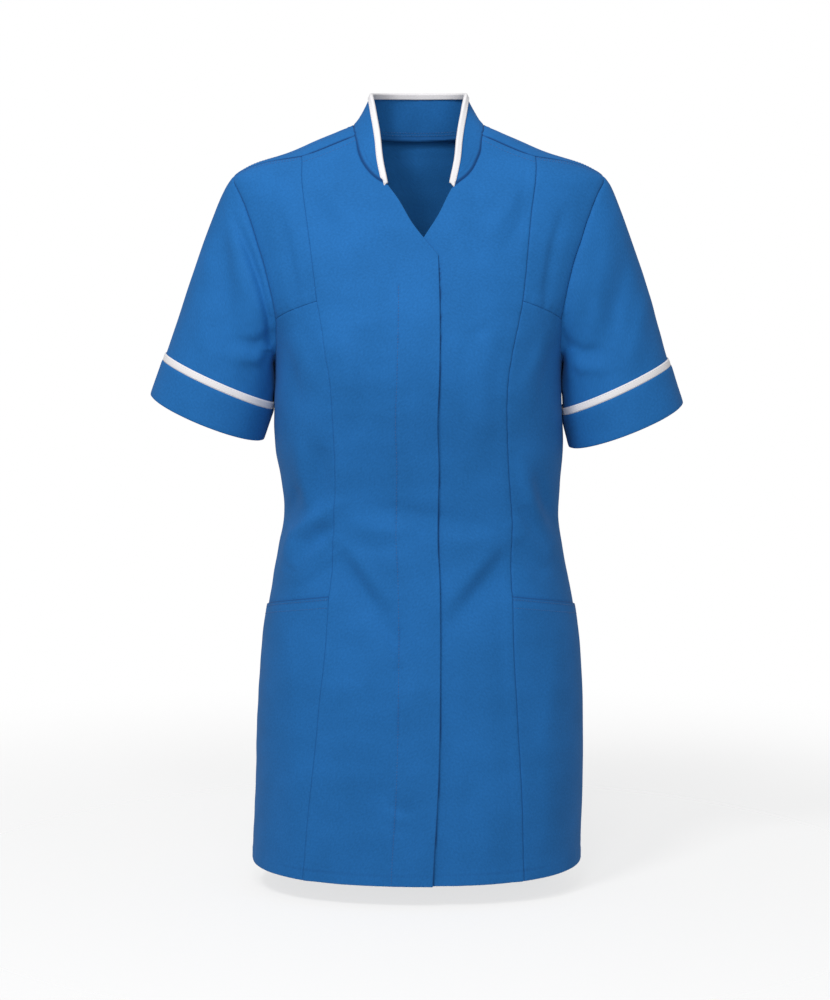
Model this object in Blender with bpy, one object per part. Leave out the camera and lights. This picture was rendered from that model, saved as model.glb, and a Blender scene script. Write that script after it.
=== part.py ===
import bmesh
import bpy
import numpy as np

# All sizes are in millimetres. X is across, front faces -Y, Z is up.
# The origin is the centre of the neck, level with the two shoulder-neck points.
TO_METRES = 0.001

# Cloth and seams
WALL = 1.2
COLLAR_WALL = 1.8
CUFF_WALL = 2.2
SEAM_GAP = 0.6
ROOT_GAP = 1.2
COLLAR_ROOT_GAP = 2.1
HEM_AT_FRONT = -777.0
HEM_AT_PRINCESS = -776.0
HEM_AT_SIDE = -772.5

# Number of quads along each kind of edge
NECK_ROWS = 6
VEE_ROWS = 5
BUST_ROWS = 4
WAIST_ROWS = 11
POCKET_ROWS = 13
CENTRE_COLUMNS = 6
SIDE_COLUMNS = 3
LOWER_COLUMNS = 4
BACK_NECK_COLUMNS = 10
BACK_ARMHOLE_ROWS = 12

# The filled-out body of the tunic, one level ring per row
TORSO_COLUMNS = ("level", "half_width", "front", "back", "front_power", "back_power")
TORSO = (
    (-800, 173.5, 124, 116, 2.25, 2.3),
    (-745, 173.5, 124, 115, 2.25, 2.3),
    (-680, 173.0, 123, 113, 2.25, 2.3),
    (-614, 171.5, 121, 110, 2.25, 2.3),
    (-565, 168.8, 119, 105, 2.25, 2.3),
    (-532, 166.2, 116, 100, 2.25, 2.3),
    (-500, 162.0, 113, 95, 2.25, 2.3),
    (-467, 156.0, 109, 87, 2.25, 2.3),
    (-435, 150.0, 106, 81, 2.25, 2.3),
    (-403, 145.5, 104, 77, 2.3, 2.3),
    (-370, 147.0, 105, 77, 2.35, 2.35),
    (-330, 151.5, 110, 82, 2.4, 2.4),
    (-280, 151.0, 119, 90, 2.5, 2.4),
    (-240, 151.0, 122, 94, 2.5, 2.4),
    (-200, 158.0, 117, 96, 2.45, 2.4),
    (-160, 175.0, 106, 95, 2.4, 2.3),
    (-117, 187.0, 92, 92, 2.3, 2.2),
    (-80, 196.0, 78, 88, 2.1, 2.1),
    (-60, 198.5, 70, 84, 2.0, 2.0),
    (-44, 193.0, 60, 80, 2.0, 2.0),
    (-32, 172.5, 50, 77, 2.0, 2.0),
    (-20, 136.5, 42, 74, 2.0, 2.0),
    (-8, 108.5, 33, 69, 2.0, 2.0),
    (2, 84.5, 24, 56, 2.0, 2.0),
    (8, 70.5, 17.5, 36, 2.0, 2.0),
    (13, 61.0, 12, 24, 2.0, 2.0),
)

# The waist and skirt sit a little to one side at some levels
SWAY_COLUMNS = ("level", "across")
SWAY = ((-800, -2.2), (-745, -1.0), (-680, 1.0), (-600, 2.0), (-500, 2.4), (-435, 2.0), (-385, 3.0), (-345, 1.6), (-300, 0), (-200, 0))

# Centre front edges, seen from the front, for the fly side and the under side
NECK_COLUMNS = ("across", "level")
FLY_NECK = ((67.4, -1.4), (65.5, -8), (63.0, -18), (59.2, -28), (53.9, -36.4), (46.7, -44.2), (39.8, -49), (32.5, -52.5))
FLY_VEE = ((32.5, -52.5), (21.7, -67.2), (5.1, -94.6), (-11.4, -114.9), (-19.9, -125))
FLY_EDGE = ((-19.9, -125), (-21.2, -164), (-21.6, -218), (-21.2, -251), (-19.4, -298), (-19.2, -344), (-17.2, -379),
            (-17.6, -425), (-19.2, -448), (-19.8, -499), (-20, -576), (-19.5, -648), (-18.4, -696), (-16.3, -774))
UNDER_NECK = ((67.4, -1.4), (66.2, -8), (64.6, -18), (60.6, -28), (56.0, -37.0), (49.8, -44.2), (43.0, -49.5), (35.0, -55.9))
UNDER_VEE = ((35.0, -55.9), (29.2, -66.5), (23.1, -78.8), (6.7, -104.6), (-20, -144))
UNDER_EDGE = ((-20, -144), (-21, -200), (-21, -774))

# Princess seams, from the shoulder to the hem
FLY_PRINCESS = ((123.7, -23.2), (119.4, -61), (113.3, -103), (108.1, -142), (104.4, -172), (100.5, -193), (95.6, -225),
                (90.2, -257), (88.4, -291), (88.0, -339), (89.6, -387), (92.4, -445), (94.9, -478), (99.6, -543),
                (104.5, -589), (108.3, -634), (113.1, -690), (118.4, -774))
UNDER_PRINCESS = ((123.0, -24.2), (121.5, -46), (116.6, -83), (112.6, -120), (108.5, -160), (107.0, -172), (103.0, -193),
                  (97.4, -218), (93.0, -245), (91.2, -272), (91.0, -300), (91.8, -365), (93.5, -398), (94.4, -440),
                  (94.8, -478), (96.1, -536), (99.1, -589), (102.5, -643), (105.8, -690), (111.1, -774))

# Seams given as the turn around the body in degrees and the level
SEAM_COLUMNS = ("turn", "level")
SHOULDER_SEAM = ((45.2, -1.4), (56.0, -23.6), (73.0, -31.0), (84.0, -43.0))
FRONT_ARMHOLE = ((90, -240), (80, -235.5), (72.5, -227), (67.0, -210), (61.8, -192), (58.2, -172), (57.2, -145),
                 (59.6, -115), (63.6, -86), (70.0, -63), (84, -43))
BACK_ARMHOLE = ((90, -240), (101, -235), (110, -225), (117, -207), (122, -180), (124.5, -145), (122.5, -110),
                (116, -78), (104, -56), (84, -43))
BACK_NECK = ((45.2, -1.4), (64, 5.5), (90, 9.3), (114, 6.5), (140, 0.5), (160, -3), (180, -4))
BUST_SEAM_END = -192.0
SIDE_SEAM_TOP = -240.0
POCKET_AT_PRINCESS = -478.0
POCKET_AT_SIDE = -499.0

# How far the back's upright lines are pushed over the shoulder ridge before they meet the surface
RIDGE_COLUMNS = (0, 2, 7, 9, 11)
RIDGE_SHARES = (0, 1, 1, 0.45, 0)
RIDGE_PUSH = (0, 34, 36)
RELAX_ROUNDS = 150

# The under front steps back below the fly
UNDERLAP_DEPTH = 2.7
UNDERLAP_FULL = 22.0
UNDERLAP_NONE = 42.0
POCKET_LIFT = 1.9

# Free edge of the collar for one half, from its front end to the centre back
COLLAR_COLUMNS = ("across", "depth", "level")
COLLAR_EDGE = ((33.0, -66.0, -50.5), (38.2, -54, -26), (40.4, -42, -6), (42.4, -31.5, 7), (45.0, -21.5, 20),
               (47.3, -13, 31), (49.2, -3, 39.2), (49.4, 10, 41.2), (44.8, 30, 42.2), (28, 48, 42.8), (0, 54.5, 42.8))
COLLAR_FINENESS = 3
BINDING_LEG = 6.2
BINDING_WALL = 1.0
BINDING_GAP = 0.6

# Sleeve rings: centre, half sizes, lean of the long axis, and how far the front edge drops
SLEEVE_COLUMNS = ("across", "depth", "level", "half_long", "half_deep", "lean", "drop")
SLEEVES = {
    "right": {"trim_top": (-209.6, 2, -256, 62.8, 58, 24.2, 1.5), "cuff_end": (-224.2, 0, -296.8, 62.3, 56.5, 22.0, 6.0)},
    "left": {"trim_top": (207.2, 2, -262.0, 62.3, 58, 25.0, 1.5), "cuff_end": (220.0, 0, -305.6, 62.8, 56.5, 21.4, 6.0)},
}
SLEEVE_ROWS = (0.0, 0.035, 0.08, 0.14, 0.22, 0.34, 0.48, 0.64, 0.82, 1.0)
SLEEVE_TOP_PULL = 14.0
SLEEVE_SIDE_PULL = 26.0
SLEEVE_UNDER_PULL = 8.0
TRIM_WIDTH = 7.6
CUFF_STEP = 1.6
TRIM_STEP = 1.7
SLEEVE_INNER_LIMIT = 155.0

# Largest soft folds on the front and back: a line, its half width and its height
FOLD_COLUMNS = ("side", "x1", "z1", "x2", "z2", "spread", "height")
FOLDS = (
    (-1, -104, -380, -127, -411, 15, 2.6),
    (-1, -127, -411, -143, -442, 15, 2.4),
    (-1, -100, -423, -131, -450, 14, 1.4),
    (-1, -88, -395, -112, -430, 14, -1.8),
    (-1, -85, -434, -46, -490, 18, -2.6),
    (-1, -46, -490, -17, -538, 18, -2.0),
    (-1, 91, -437, 31, -507, 18, -2.6),
    (-1, 112, -366, 124, -392, 15, 2.4),
    (-1, 124, -392, 143, -419, 15, 2.6),
    (-1, 98, -396, 132, -446, 14, 1.4),
    (-1, -60, -385, 60, -402, 20, -1.4),
    (1, -120, -395, -30, -378, 18, 2.6),
    (1, -25, -405, 70, -388, 17, 2.2),
    (1, 40, -425, 128, -400, 17, 2.4),
    (1, -110, -440, -20, -425, 16, 1.8),
    (1, -60, -350, 55, -358, 18, 1.6),
    (1, -70, -560, -50, -760, 34, -3.0),
    (1, 62, -560, 78, -760, 34, -3.0),
    (1, 0, -600, 8, -770, 34, 2.6),
)

# Cloth colours, linear
BLUE = (0.0245, 0.140, 0.392, 1.0)
WHITE = (0.80, 0.79, 0.79, 1.0)


def smooth(places, values, at):
    # Cubic curve through the rows of a table
    places = np.asarray(places, float)
    values = np.asarray(values, float)
    order = np.argsort(places)
    places, values = places[order], values[order]
    slopes = np.gradient(values, places)
    at = np.clip(at, places[0], places[-1])
    row = np.clip(np.searchsorted(places, at) - 1, 0, len(places) - 2)
    step = places[row + 1] - places[row]
    t = (at - places[row]) / step
    return ((2 * t**3 - 3 * t**2 + 1) * values[row] + (t**3 - 2 * t**2 + t) * step * slopes[row]
            + (3 * t**2 - 2 * t**3) * values[row + 1] + (t**3 - t**2) * step * slopes[row + 1])


def torso(name, level):
    column = TORSO_COLUMNS.index(name)
    return smooth([row[0] for row in TORSO], [row[column] for row in TORSO], level)


def ring(turn, level):
    # A point of the body from its turn in degrees, 0 at the front, and its level
    angle = np.radians(np.asarray(turn, float))
    level = np.asarray(level, float)
    front = np.cos(angle) >= 0
    power = np.where(front, torso("front_power", level), torso("back_power", level))
    depth = np.where(front, torso("front", level), torso("back", level))
    radius = (np.abs(np.sin(angle))**power + np.abs(np.cos(angle))**power)**(-1 / power)
    x = -torso("half_width", level) * radius * np.sin(angle)
    return np.stack([x, -depth * radius * np.cos(angle), level + 0 * x], axis=-1)


def turn_of(across, level):
    # The turn on the front half for a distance across
    part = np.clip(np.asarray(across, float) / torso("half_width", level), -1, 1)
    power = torso("front_power", level)
    return np.degrees(np.arctan2(part, (1 - np.abs(part)**power)**(1 / power)))


def inside(points):
    # Below zero inside the body, zero on it
    x, y, z = points[..., 0], points[..., 1], points[..., 2]
    front = y < 0
    power = np.where(front, torso("front_power", z), torso("back_power", z))
    depth = np.where(front, torso("front", z), torso("back", z))
    return (np.abs(x) / torso("half_width", z))**power + (np.abs(y) / depth)**power - 1


def outward(points):
    # Unit normal of the body surface
    step = 0.5
    parts = []
    for axis in range(3):
        shift = np.zeros(3)
        shift[axis] = step
        parts.append(inside(points + shift) - inside(points - shift))
    normal = np.stack(parts, axis=-1)
    return normal / np.linalg.norm(normal, axis=-1, keepdims=True)


def onto_body(points):
    # Slide points along the slope of the level function until they lie on the body
    step = 0.5
    for _ in range(2):
        value = inside(points)
        slope = np.stack([(inside(points + step * axis) - inside(points - step * axis)) / (2 * step)
                          for axis in np.eye(3)], axis=-1)
        points = points - slope * (value / np.sum(slope**2, axis=-1))[..., None]
    return points


def fold_height(points):
    # Sum of all soft folds at each point
    total = np.zeros(points.shape[:-1])
    for side, x1, z1, x2, z2, spread, height in FOLDS:
        start = np.array([x1, z1], float)
        run = np.array([x2 - x1, z2 - z1], float)
        place = points[..., [0, 2]] - start
        along = np.clip((place @ run) / (run @ run), 0, 1)
        away = np.linalg.norm(place - along[..., None] * run, axis=-1)
        total += height * np.exp(-(away / spread)**2) * (side * points[..., 1] > 0)
    return total * np.clip(np.abs(points[..., 1]) / 30, 0, 1)


def along_curve(table, count, first=0.0, last=1.0):
    # Evenly spaced points along a smooth curve through the rows of a table
    rows = np.asarray(table, float)
    gaps = np.linalg.norm(np.diff(rows, axis=0), axis=1)
    run = np.concatenate([[0], np.cumsum(gaps)])
    fine = np.linspace(0, run[-1], 400)
    curve = np.stack([smooth(run, rows[:, k], fine) for k in range(rows.shape[1])], axis=-1)
    length = np.concatenate([[0], np.cumsum(np.linalg.norm(np.diff(curve, axis=0), axis=1))])
    wanted = np.linspace(first, last, count + 1) * length[-1]
    return np.stack([np.interp(wanted, length, curve[:, k]) for k in range(rows.shape[1])], axis=-1)


def seam_at_levels(table, levels):
    # The distance across of a seam at given levels
    rows = np.asarray(table, float)
    return smooth(rows[:, 1], rows[:, 0], np.asarray(levels, float))


def as_turns(across, levels):
    return np.stack([turn_of(across, levels), np.asarray(levels, float)], axis=-1)


def between(first, last, columns):
    # Straight lines across from one edge to the other, in turn and level
    share = np.linspace(0, 1, columns + 1)[None, :, None]
    return first[:, None, :] * (1 - share) + last[:, None, :] * share


def unit(vectors):
    return vectors / np.linalg.norm(vectors, axis=-1, keepdims=True)


def pull_in(points, edges, amount):
    # Draw the named edges of a grid back along its surface
    points = points.copy()
    for edge in edges:
        grid = {"low": points, "high": points[::-1], "start": points.swapaxes(0, 1),
                "end": points.swapaxes(0, 1)[::-1]}[edge]
        inward = grid[1] - grid[0]
        tangent = unit(np.gradient(grid[0], axis=0))
        inward = inward - np.sum(inward * tangent, axis=-1, keepdims=True) * tangent
        grid[0] += unit(inward) * amount
    return points


def shell(name, outer, inner, material, wrapped=False):
    # Close two matching grids into one solid wall, both split along the same diagonals
    rows, columns = outer.shape[:2]
    mesh = bmesh.new()
    skins = []
    for grid in (outer, inner):
        flat = [mesh.verts.new(point * TO_METRES) for point in grid.reshape(-1, 3)]
        skins.append(flat)
    across = columns if wrapped else columns - 1

    def at(skin, row, column):
        return skins[skin][row * columns + column % columns]

    for row in range(rows - 1):
        for column in range(across):
            first, second = (row, column), (row, column + 1)
            third, fourth = (row + 1, column + 1), (row + 1, column)
            for corners in ((first, second, third), (first, third, fourth)):
                mesh.faces.new([at(0, r, c) for r, c in corners])
                mesh.faces.new([at(1, r, c) for r, c in reversed(corners)])
    for column in range(across):
        for row, order in ((0, 1), (rows - 1, -1)):
            mesh.faces.new([at(0, row, column), at(1, row, column), at(1, row, column + 1), at(0, row, column + 1)][::order])
    if not wrapped:
        for row in range(rows - 1):
            for column, order in ((0, -1), (columns - 1, 1)):
                mesh.faces.new([at(0, row, column), at(1, row, column), at(1, row + 1, column), at(0, row + 1, column)][::order])
    bmesh.ops.recalc_face_normals(mesh, faces=mesh.faces)
    data = bpy.data.meshes.new(name)
    mesh.to_mesh(data)
    mesh.free()
    data.materials.append(material)
    piece = bpy.data.objects.new(name, data)
    bpy.context.scene.collection.objects.link(piece)
    return piece


def body_panel(name, points, edges, material, lift=0.0, wall=WALL):
    # A cloth panel on the body surface, with its folds
    points = pull_in(points, edges, SEAM_GAP / 2)
    normal = outward(points)
    centre = points + normal * (fold_height(points) + lift)[..., None]
    centre[..., 0] += smooth([row[0] for row in SWAY], [row[1] for row in SWAY], centre[..., 2])
    return shell(name, centre + normal * wall / 2, centre - normal * wall / 2, material)


def grid_normals(grid, wrapped):
    # Normals of a free grid from its own neighbours
    down = np.gradient(grid, axis=0)
    if wrapped:
        side = np.roll(grid, -1, axis=1) - np.roll(grid, 1, axis=1)
    else:
        side = np.gradient(grid, axis=1)
    return unit(np.cross(side, down))


def make_material(name, colour, roughness):
    material = bpy.data.materials.new(name)
    material.use_nodes = True
    surface = material.node_tree.nodes["Principled BSDF"]
    surface.inputs["Base Color"].default_value = colour
    surface.inputs["Roughness"].default_value = roughness
    return material


def mirrored(points):
    return points * np.array([-1, 1, 1])


for old in list(bpy.data.objects):
    bpy.data.objects.remove(old, do_unlink=True)
blue = make_material("hospital_blue_cotton_blend", BLUE, 0.85)
white = make_material("white_contrast_tape", WHITE, 0.8)

# Levels shared by the seams, from the shoulder down
upper_rows = NECK_ROWS + VEE_ROWS
lower_princess = np.concatenate([
    np.linspace(-172, SIDE_SEAM_TOP, BUST_ROWS + 1)[1:],
    np.linspace(SIDE_SEAM_TOP, POCKET_AT_PRINCESS, WAIST_ROWS + 1)[1:],
    np.linspace(POCKET_AT_PRINCESS, HEM_AT_PRINCESS, POCKET_ROWS + 1)[1:]])
side_levels = np.concatenate([
    np.linspace(SIDE_SEAM_TOP, POCKET_AT_SIDE, WAIST_ROWS + 1),
    np.linspace(POCKET_AT_SIDE, HEM_AT_SIDE, POCKET_ROWS + 1)[1:]])
shoulder = np.concatenate([
    along_curve(SHOULDER_SEAM[:2], CENTRE_COLUMNS),
    along_curve(SHOULDER_SEAM[1:], SIDE_COLUMNS)[1:]])
shoulder_centre = shoulder[:CENTRE_COLUMNS + 1]
shoulder_side = shoulder[CENTRE_COLUMNS:]
armhole_fine = along_curve(FRONT_ARMHOLE, 400)
bust_row = int(np.argmin(np.abs(armhole_fine[:, 1] - BUST_SEAM_END)))
armhole_low = along_curve(armhole_fine[:bust_row + 1], BUST_ROWS)
armhole_high = along_curve(armhole_fine[bust_row:], upper_rows)
armhole_back = along_curve(BACK_ARMHOLE, BACK_ARMHOLE_ROWS)
back_neck = along_curve(BACK_NECK, BACK_NECK_COLUMNS // 2)


def front_half(neck, vee, edge, princess, side, underlap):
    # One half of the front, drawn as the wearer's right and mirrored for the left
    neck_line = along_curve(neck, NECK_ROWS)
    vee_line = along_curve(vee, VEE_ROWS)
    lower_edge = np.interp(np.arange(len(lower_princess)) + 1, [0, BUST_ROWS, len(lower_princess)],
                           [vee_line[-1, 1], SIDE_SEAM_TOP, HEM_AT_FRONT])
    edge_across = seam_at_levels(edge, lower_edge)
    front_across = np.concatenate([neck_line[:, 0], vee_line[1:, 0], edge_across])
    front_levels = np.concatenate([neck_line[:, 1], vee_line[1:, 1], lower_edge])
    front_edge = as_turns(front_across, front_levels)
    princess_levels = np.concatenate([np.linspace(princess[0][1], -172, upper_rows + 1), lower_princess])
    seam = as_turns(seam_at_levels(princess, princess_levels), princess_levels)
    seam[0] = shoulder_centre[-1]
    centre = between(front_edge, seam, CENTRE_COLUMNS)
    centre[0] = shoulder_centre
    upper = between(seam[:upper_rows + 1], armhole_high[::-1], SIDE_COLUMNS)
    upper[0] = shoulder_side
    outer_edge = np.concatenate([armhole_low[::-1], np.stack([90 + 0 * side_levels, side_levels], axis=-1)[1:]])
    lower = between(seam[upper_rows:], outer_edge, LOWER_COLUMNS)
    pocket = lower[BUST_ROWS + WAIST_ROWS:]
    flip = mirrored if side == "left" else (lambda points: points)
    points = ring(centre[..., 0], centre[..., 1])
    step_back = 0.0 * points[..., 0]
    if underlap:
        step_back = -UNDERLAP_DEPTH * np.clip((UNDERLAP_NONE + points[..., 0]) / (UNDERLAP_NONE - UNDERLAP_FULL), 0, 1)
        step_back = step_back * np.clip((-60 - points[..., 2]) / 30, 0, 1)
    body_panel(f"centre_front_{side}", flip(points), ("low", "start", "end"), blue, step_back)
    body_panel(f"upper_side_front_{side}", flip(ring(upper[..., 0], upper[..., 1])),
               ("low", "high", "start", "end"), blue)
    body_panel(f"lower_side_front_{side}", flip(ring(lower[..., 0], lower[..., 1])), ("low", "start", "end"), blue)
    body_panel(f"pocket_{side}", flip(ring(pocket[..., 0], pocket[..., 1])), ("start", "end"), blue, POCKET_LIFT)
    return flip(ring(front_edge[:NECK_ROWS + 1, 0], front_edge[:NECK_ROWS + 1, 1]))


neck_right = front_half(FLY_NECK, FLY_VEE, FLY_EDGE, FLY_PRINCESS, "right", False)
neck_left = front_half(UNDER_NECK, UNDER_VEE, UNDER_EDGE, UNDER_PRINCESS, "left", True)

# Back: level rings below the armholes, and rays from a point inside above them
top_turns = np.concatenate([shoulder[::-1], back_neck[1:]])
top_half = ring(top_turns[:, 0], top_turns[:, 1])
top_line = np.concatenate([top_half, mirrored(top_half)[-2::-1]])
back_columns = len(top_line) - 1
turns = np.linspace(90, 270, back_columns + 1)
lower_back = ring(*np.broadcast_arrays(turns[None, :], side_levels[:, None]))
side_line = ring(armhole_back[:, 0], armhole_back[:, 1])
u = np.linspace(0, 1, back_columns + 1)[None, :, None]
v = np.linspace(0, 1, BACK_ARMHOLE_ROWS + 1)[:, None, None]
low_line = lower_back[0]
patch = ((1 - v) * low_line[None] + v * top_line[None] + (1 - u) * side_line[:, None] + u * mirrored(side_line)[:, None]
         - (1 - u) * (1 - v) * low_line[0] - u * (1 - v) * low_line[-1] - (1 - u) * v * top_line[0] - u * v * top_line[-1])
lean_back = np.interp(np.minimum(np.arange(back_columns + 1), back_columns - np.arange(back_columns + 1)),
                      RIDGE_COLUMNS, RIDGE_SHARES)[None, :, None]
patch = patch + 4 * v * (1 - v) * lean_back * np.array(RIDGE_PUSH)
middle = np.array([0.0, 8.0, -110.0])
rays = patch - middle
near = np.full(patch.shape[:2], 0.6)
far = np.full(patch.shape[:2], 1.7)
for _ in range(40):
    half = (near + far) / 2
    within = inside(middle + rays * half[..., None]) < 0
    near = np.where(within, half, near)
    far = np.where(within, far, half)
projected = middle + rays * near[..., None]
edge_share = np.minimum(np.minimum(u, 1 - u), np.minimum(v, 1 - v))
upper_back = np.where(edge_share > 0, projected, patch)
joined = np.concatenate([upper_back[::-1], lower_back[1:]])
last_free = BACK_ARMHOLE_ROWS + 3
for _ in range(RELAX_ROUNDS):
    middle_points = (joined[:last_free - 1, 1:-1] + joined[2:last_free + 1, 1:-1]
                     + joined[1:last_free, :-2] + joined[1:last_free, 2:]) / 4
    joined[1:last_free, 1:-1] = onto_body(middle_points)
body_panel("back", joined, ("low", "start", "end"), blue)

# Collar, from its front end on the wearer's right round the back
neck_back = ring(back_neck[:, 0], back_neck[:, 1])
half_right = np.concatenate([neck_right[::-1], neck_back[1:]])
half_left = np.concatenate([neck_left[::-1], mirrored(neck_back)[1:]])


def share_of_length(points):
    gaps = np.linalg.norm(np.diff(points, axis=0), axis=1)
    return np.concatenate([[0], np.cumsum(gaps)]) / gaps.sum()


def collar_half(foot_half):
    # The free edge at the same shares of length as the foot
    fine = along_curve(COLLAR_EDGE, 300)
    shares = share_of_length(foot_half)
    return np.stack([np.interp(shares, np.linspace(0, 1, 301), fine[:, k]) for k in range(3)], axis=-1)


edge_right = mirrored(collar_half(half_right))
edge_left = collar_half(half_left)
foot = np.concatenate([half_right, half_left[-2::-1]])
top = np.concatenate([edge_right, edge_left[-2::-1]])
start_share = 0.55
for line in (foot, top):
    line[0] = line[0] * (1 - start_share) + line[1] * start_share
    line[-1] = line[-1] * (1 - start_share) + line[-2] * start_share
stations = np.linspace(0, len(foot) - 1, (len(foot) - 1) * COLLAR_FINENESS + 1)
marks = np.arange(len(foot))
foot = np.stack([np.interp(stations, marks, foot[:, k]) for k in range(3)], axis=-1)
top = np.stack([smooth(marks, top[:, k], stations) for k in range(3)], axis=-1)
rise = unit(top - foot)
foot_line = foot + rise * COLLAR_ROOT_GAP
collar_height = np.linalg.norm(top - foot_line, axis=-1)
path = unit(np.gradient(top, axis=0))
slant = np.linalg.norm(np.cross(rise, path), axis=-1)
leg = np.minimum(BINDING_LEG / slant, collar_height * 0.8)
leg_share = 1 - leg / collar_height
collar = np.stack([foot_line + (top - foot_line) * share[:, None] for share in (0 * leg_share, leg_share * 0.5, leg_share, 1 + 0 * leg_share)])
collar_normal = grid_normals(collar, False)
if np.sum(collar_normal[1, len(foot) // 2] * np.array([0, 1, 0])) < 0:
    collar_normal = -collar_normal
shell("collar", collar + collar_normal * COLLAR_WALL / 2, collar - collar_normal * COLLAR_WALL / 2, blue)

# Tape folded over the free edge of the collar, its legs lying along the collar
out = collar_normal[-1]
leg_out = collar_normal[-2]
leg_end = collar[-2]
beyond = unit(np.cross(path, out))
beyond *= np.sign(np.sum(beyond * rise, axis=-1, keepdims=True))
inner_half = COLLAR_WALL / 2 + BINDING_GAP
outer_half = inner_half + BINDING_WALL
profile = ((outer_half, -1), (outer_half, 0.4), (outer_half * 0.5, 1.45), (-outer_half * 0.5, 1.45), (-outer_half, 0.4),
           (-outer_half, -1), (-inner_half, -1), (-inner_half, 0.4), (inner_half, 0.4), (inner_half, -1))
tape = []
for sideways, height in profile:
    tape.append(leg_end + leg_out * sideways if height < 0 else top + out * sideways + beyond * height)
tape = np.stack(tape, axis=1)


def swept(name, sections, falling, material):
    # A closed profile carried along a path, with both ends closed
    count, corners = sections.shape[:2]
    mesh = bmesh.new()
    loops = [[mesh.verts.new(point * TO_METRES) for point in section] for section in sections]
    for one, two in zip(loops, loops[1:]):
        for corner in range(corners):
            after = (corner + 1) % corners
            square = [one[corner], one[after], two[after], two[corner]]
            if falling[corner]:
                square = square[1:] + square[:1]
            mesh.faces.new([square[0], square[1], square[2]])
            mesh.faces.new([square[0], square[2], square[3]])
    mesh.faces.new(loops[0][::-1])
    mesh.faces.new(loops[-1])
    bmesh.ops.recalc_face_normals(mesh, faces=mesh.faces)
    bmesh.ops.triangulate(mesh, faces=[face for face in mesh.faces if len(face.verts) > 4])
    data = bpy.data.meshes.new(name)
    mesh.to_mesh(data)
    mesh.free()
    data.materials.append(material)
    piece = bpy.data.objects.new(name, data)
    bpy.context.scene.collection.objects.link(piece)
    return piece


falling = [profile[k][1] > profile[(k + 1) % len(profile)][1] for k in range(len(profile))]
swept("collar_binding", tape, falling, white)

# Sleeves hang from the armholes and lie just clear of the body
armhole_turns = np.concatenate([armhole_high[::-1], armhole_low[::-1][1:], armhole_back[1:-1]])
armhole = ring(armhole_turns[:, 0], armhole_turns[:, 1])
armhole_middle = (armhole.max(axis=0) + armhole.min(axis=0)) / 2
armhole_half = (armhole.max(axis=0) - armhole.min(axis=0)) / 2
around = np.arctan2((armhole_middle[1] - armhole[:, 1]) / armhole_half[1], (armhole[:, 2] - armhole_middle[2]) / armhole_half[2])
around = np.unwrap(around)


def sleeve_ring(spec, sign, grow=0.0):
    # A leaning oval, from its outer point by way of the front
    across, depth, level, half_long, half_deep, lean, drop = spec
    angle = np.radians(lean)
    long_axis = np.array([sign * np.cos(angle), 0, np.sin(angle)])
    deep_axis = np.array([0, -1, -drop / half_deep])
    return (np.array([across, depth, level]) + (half_long + grow) * np.cos(around)[:, None] * long_axis
            + (half_deep + grow) * np.sin(around)[:, None] * deep_axis)


def clear_of_body(points, sign):
    # Keep the inner side of the sleeve just off the side of the body
    limit = np.where(points[..., 2] < SIDE_SEAM_TOP + 2, SLEEVE_INNER_LIMIT, 0)
    reach = sign * points[..., 0]
    kept = 0.5 * (reach + limit + np.sqrt((reach - limit)**2 + 30))
    moved = points.copy()
    moved[..., 0] = sign * np.where(limit > 0, kept, reach)
    return moved


def tube_normals(grid):
    normal = grid_normals(grid, True)
    centre = grid.mean(axis=1, keepdims=True)
    return normal if np.sum(normal * (grid - centre)) > 0 else -normal


def tube(name, grid, normal, wall, material):
    # A cloth tube around a grid of rings
    shell(name, grid + normal * wall / 2, grid - normal * wall / 2, material, wrapped=True)


for side, sign in (("right", -1), ("left", 1)):
    spec = SLEEVES[side]
    flip = np.array([-sign, 1, 1])
    root = armhole * flip
    high = sleeve_ring(spec["trim_top"], sign)
    end = sleeve_ring(spec["cuff_end"], sign)
    hang = unit(np.array(spec["cuff_end"][:3]) - np.array(spec["trim_top"][:3]))
    upness = (1 + np.cos(around)) / 2
    start = np.stack([sign * (0.92 + 0 * around), -0.34 * np.sin(around), -0.10 - 0.32 * upness], axis=-1)
    start = unit(start)
    pull = np.where(np.cos(around) > 0, SLEEVE_SIDE_PULL + (SLEEVE_TOP_PULL - SLEEVE_SIDE_PULL) * np.cos(around),
                    SLEEVE_SIDE_PULL + (SLEEVE_SIDE_PULL - SLEEVE_UNDER_PULL) * np.cos(around))[:, None]
    reach = np.linalg.norm(high - root, axis=-1, keepdims=True)
    first = root + start * ROOT_GAP
    second = first + start * pull
    third = high - hang * reach * 0.42
    rings = []
    for share in SLEEVE_ROWS:
        t = share
        rings.append(first * (1 - t)**3 + 3 * second * t * (1 - t)**2 + 3 * third * t**2 * (1 - t) + high * t**3)
    downhill = unit(end - high)
    trim_end = high + downhill * TRIM_WIDTH
    cuff_start = high + downhill * (TRIM_WIDTH + 0.8)
    rings = rings[:-1] + [high, trim_end, cuff_start] + [cuff_start * (1 - t) + end * t for t in (0.33, 0.67, 1)]
    grid = np.stack([rings[0]] + [clear_of_body(points, sign) for points in rings[1:]])
    normal = tube_normals(grid)
    last = len(SLEEVE_ROWS) + 1
    tube(f"sleeve_{side}", grid[:last], normal[:last], WALL, blue)
    band = grid[last - 2:last] + normal[last - 2:last] * TRIM_STEP
    tube(f"trim_{side}", band, normal[last - 2:last], WALL, white)
    cuff = grid[last:] + normal[last:] * CUFF_STEP
    tube(f"cuff_{side}", cuff, normal[last:], CUFF_WALL, blue)
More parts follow.
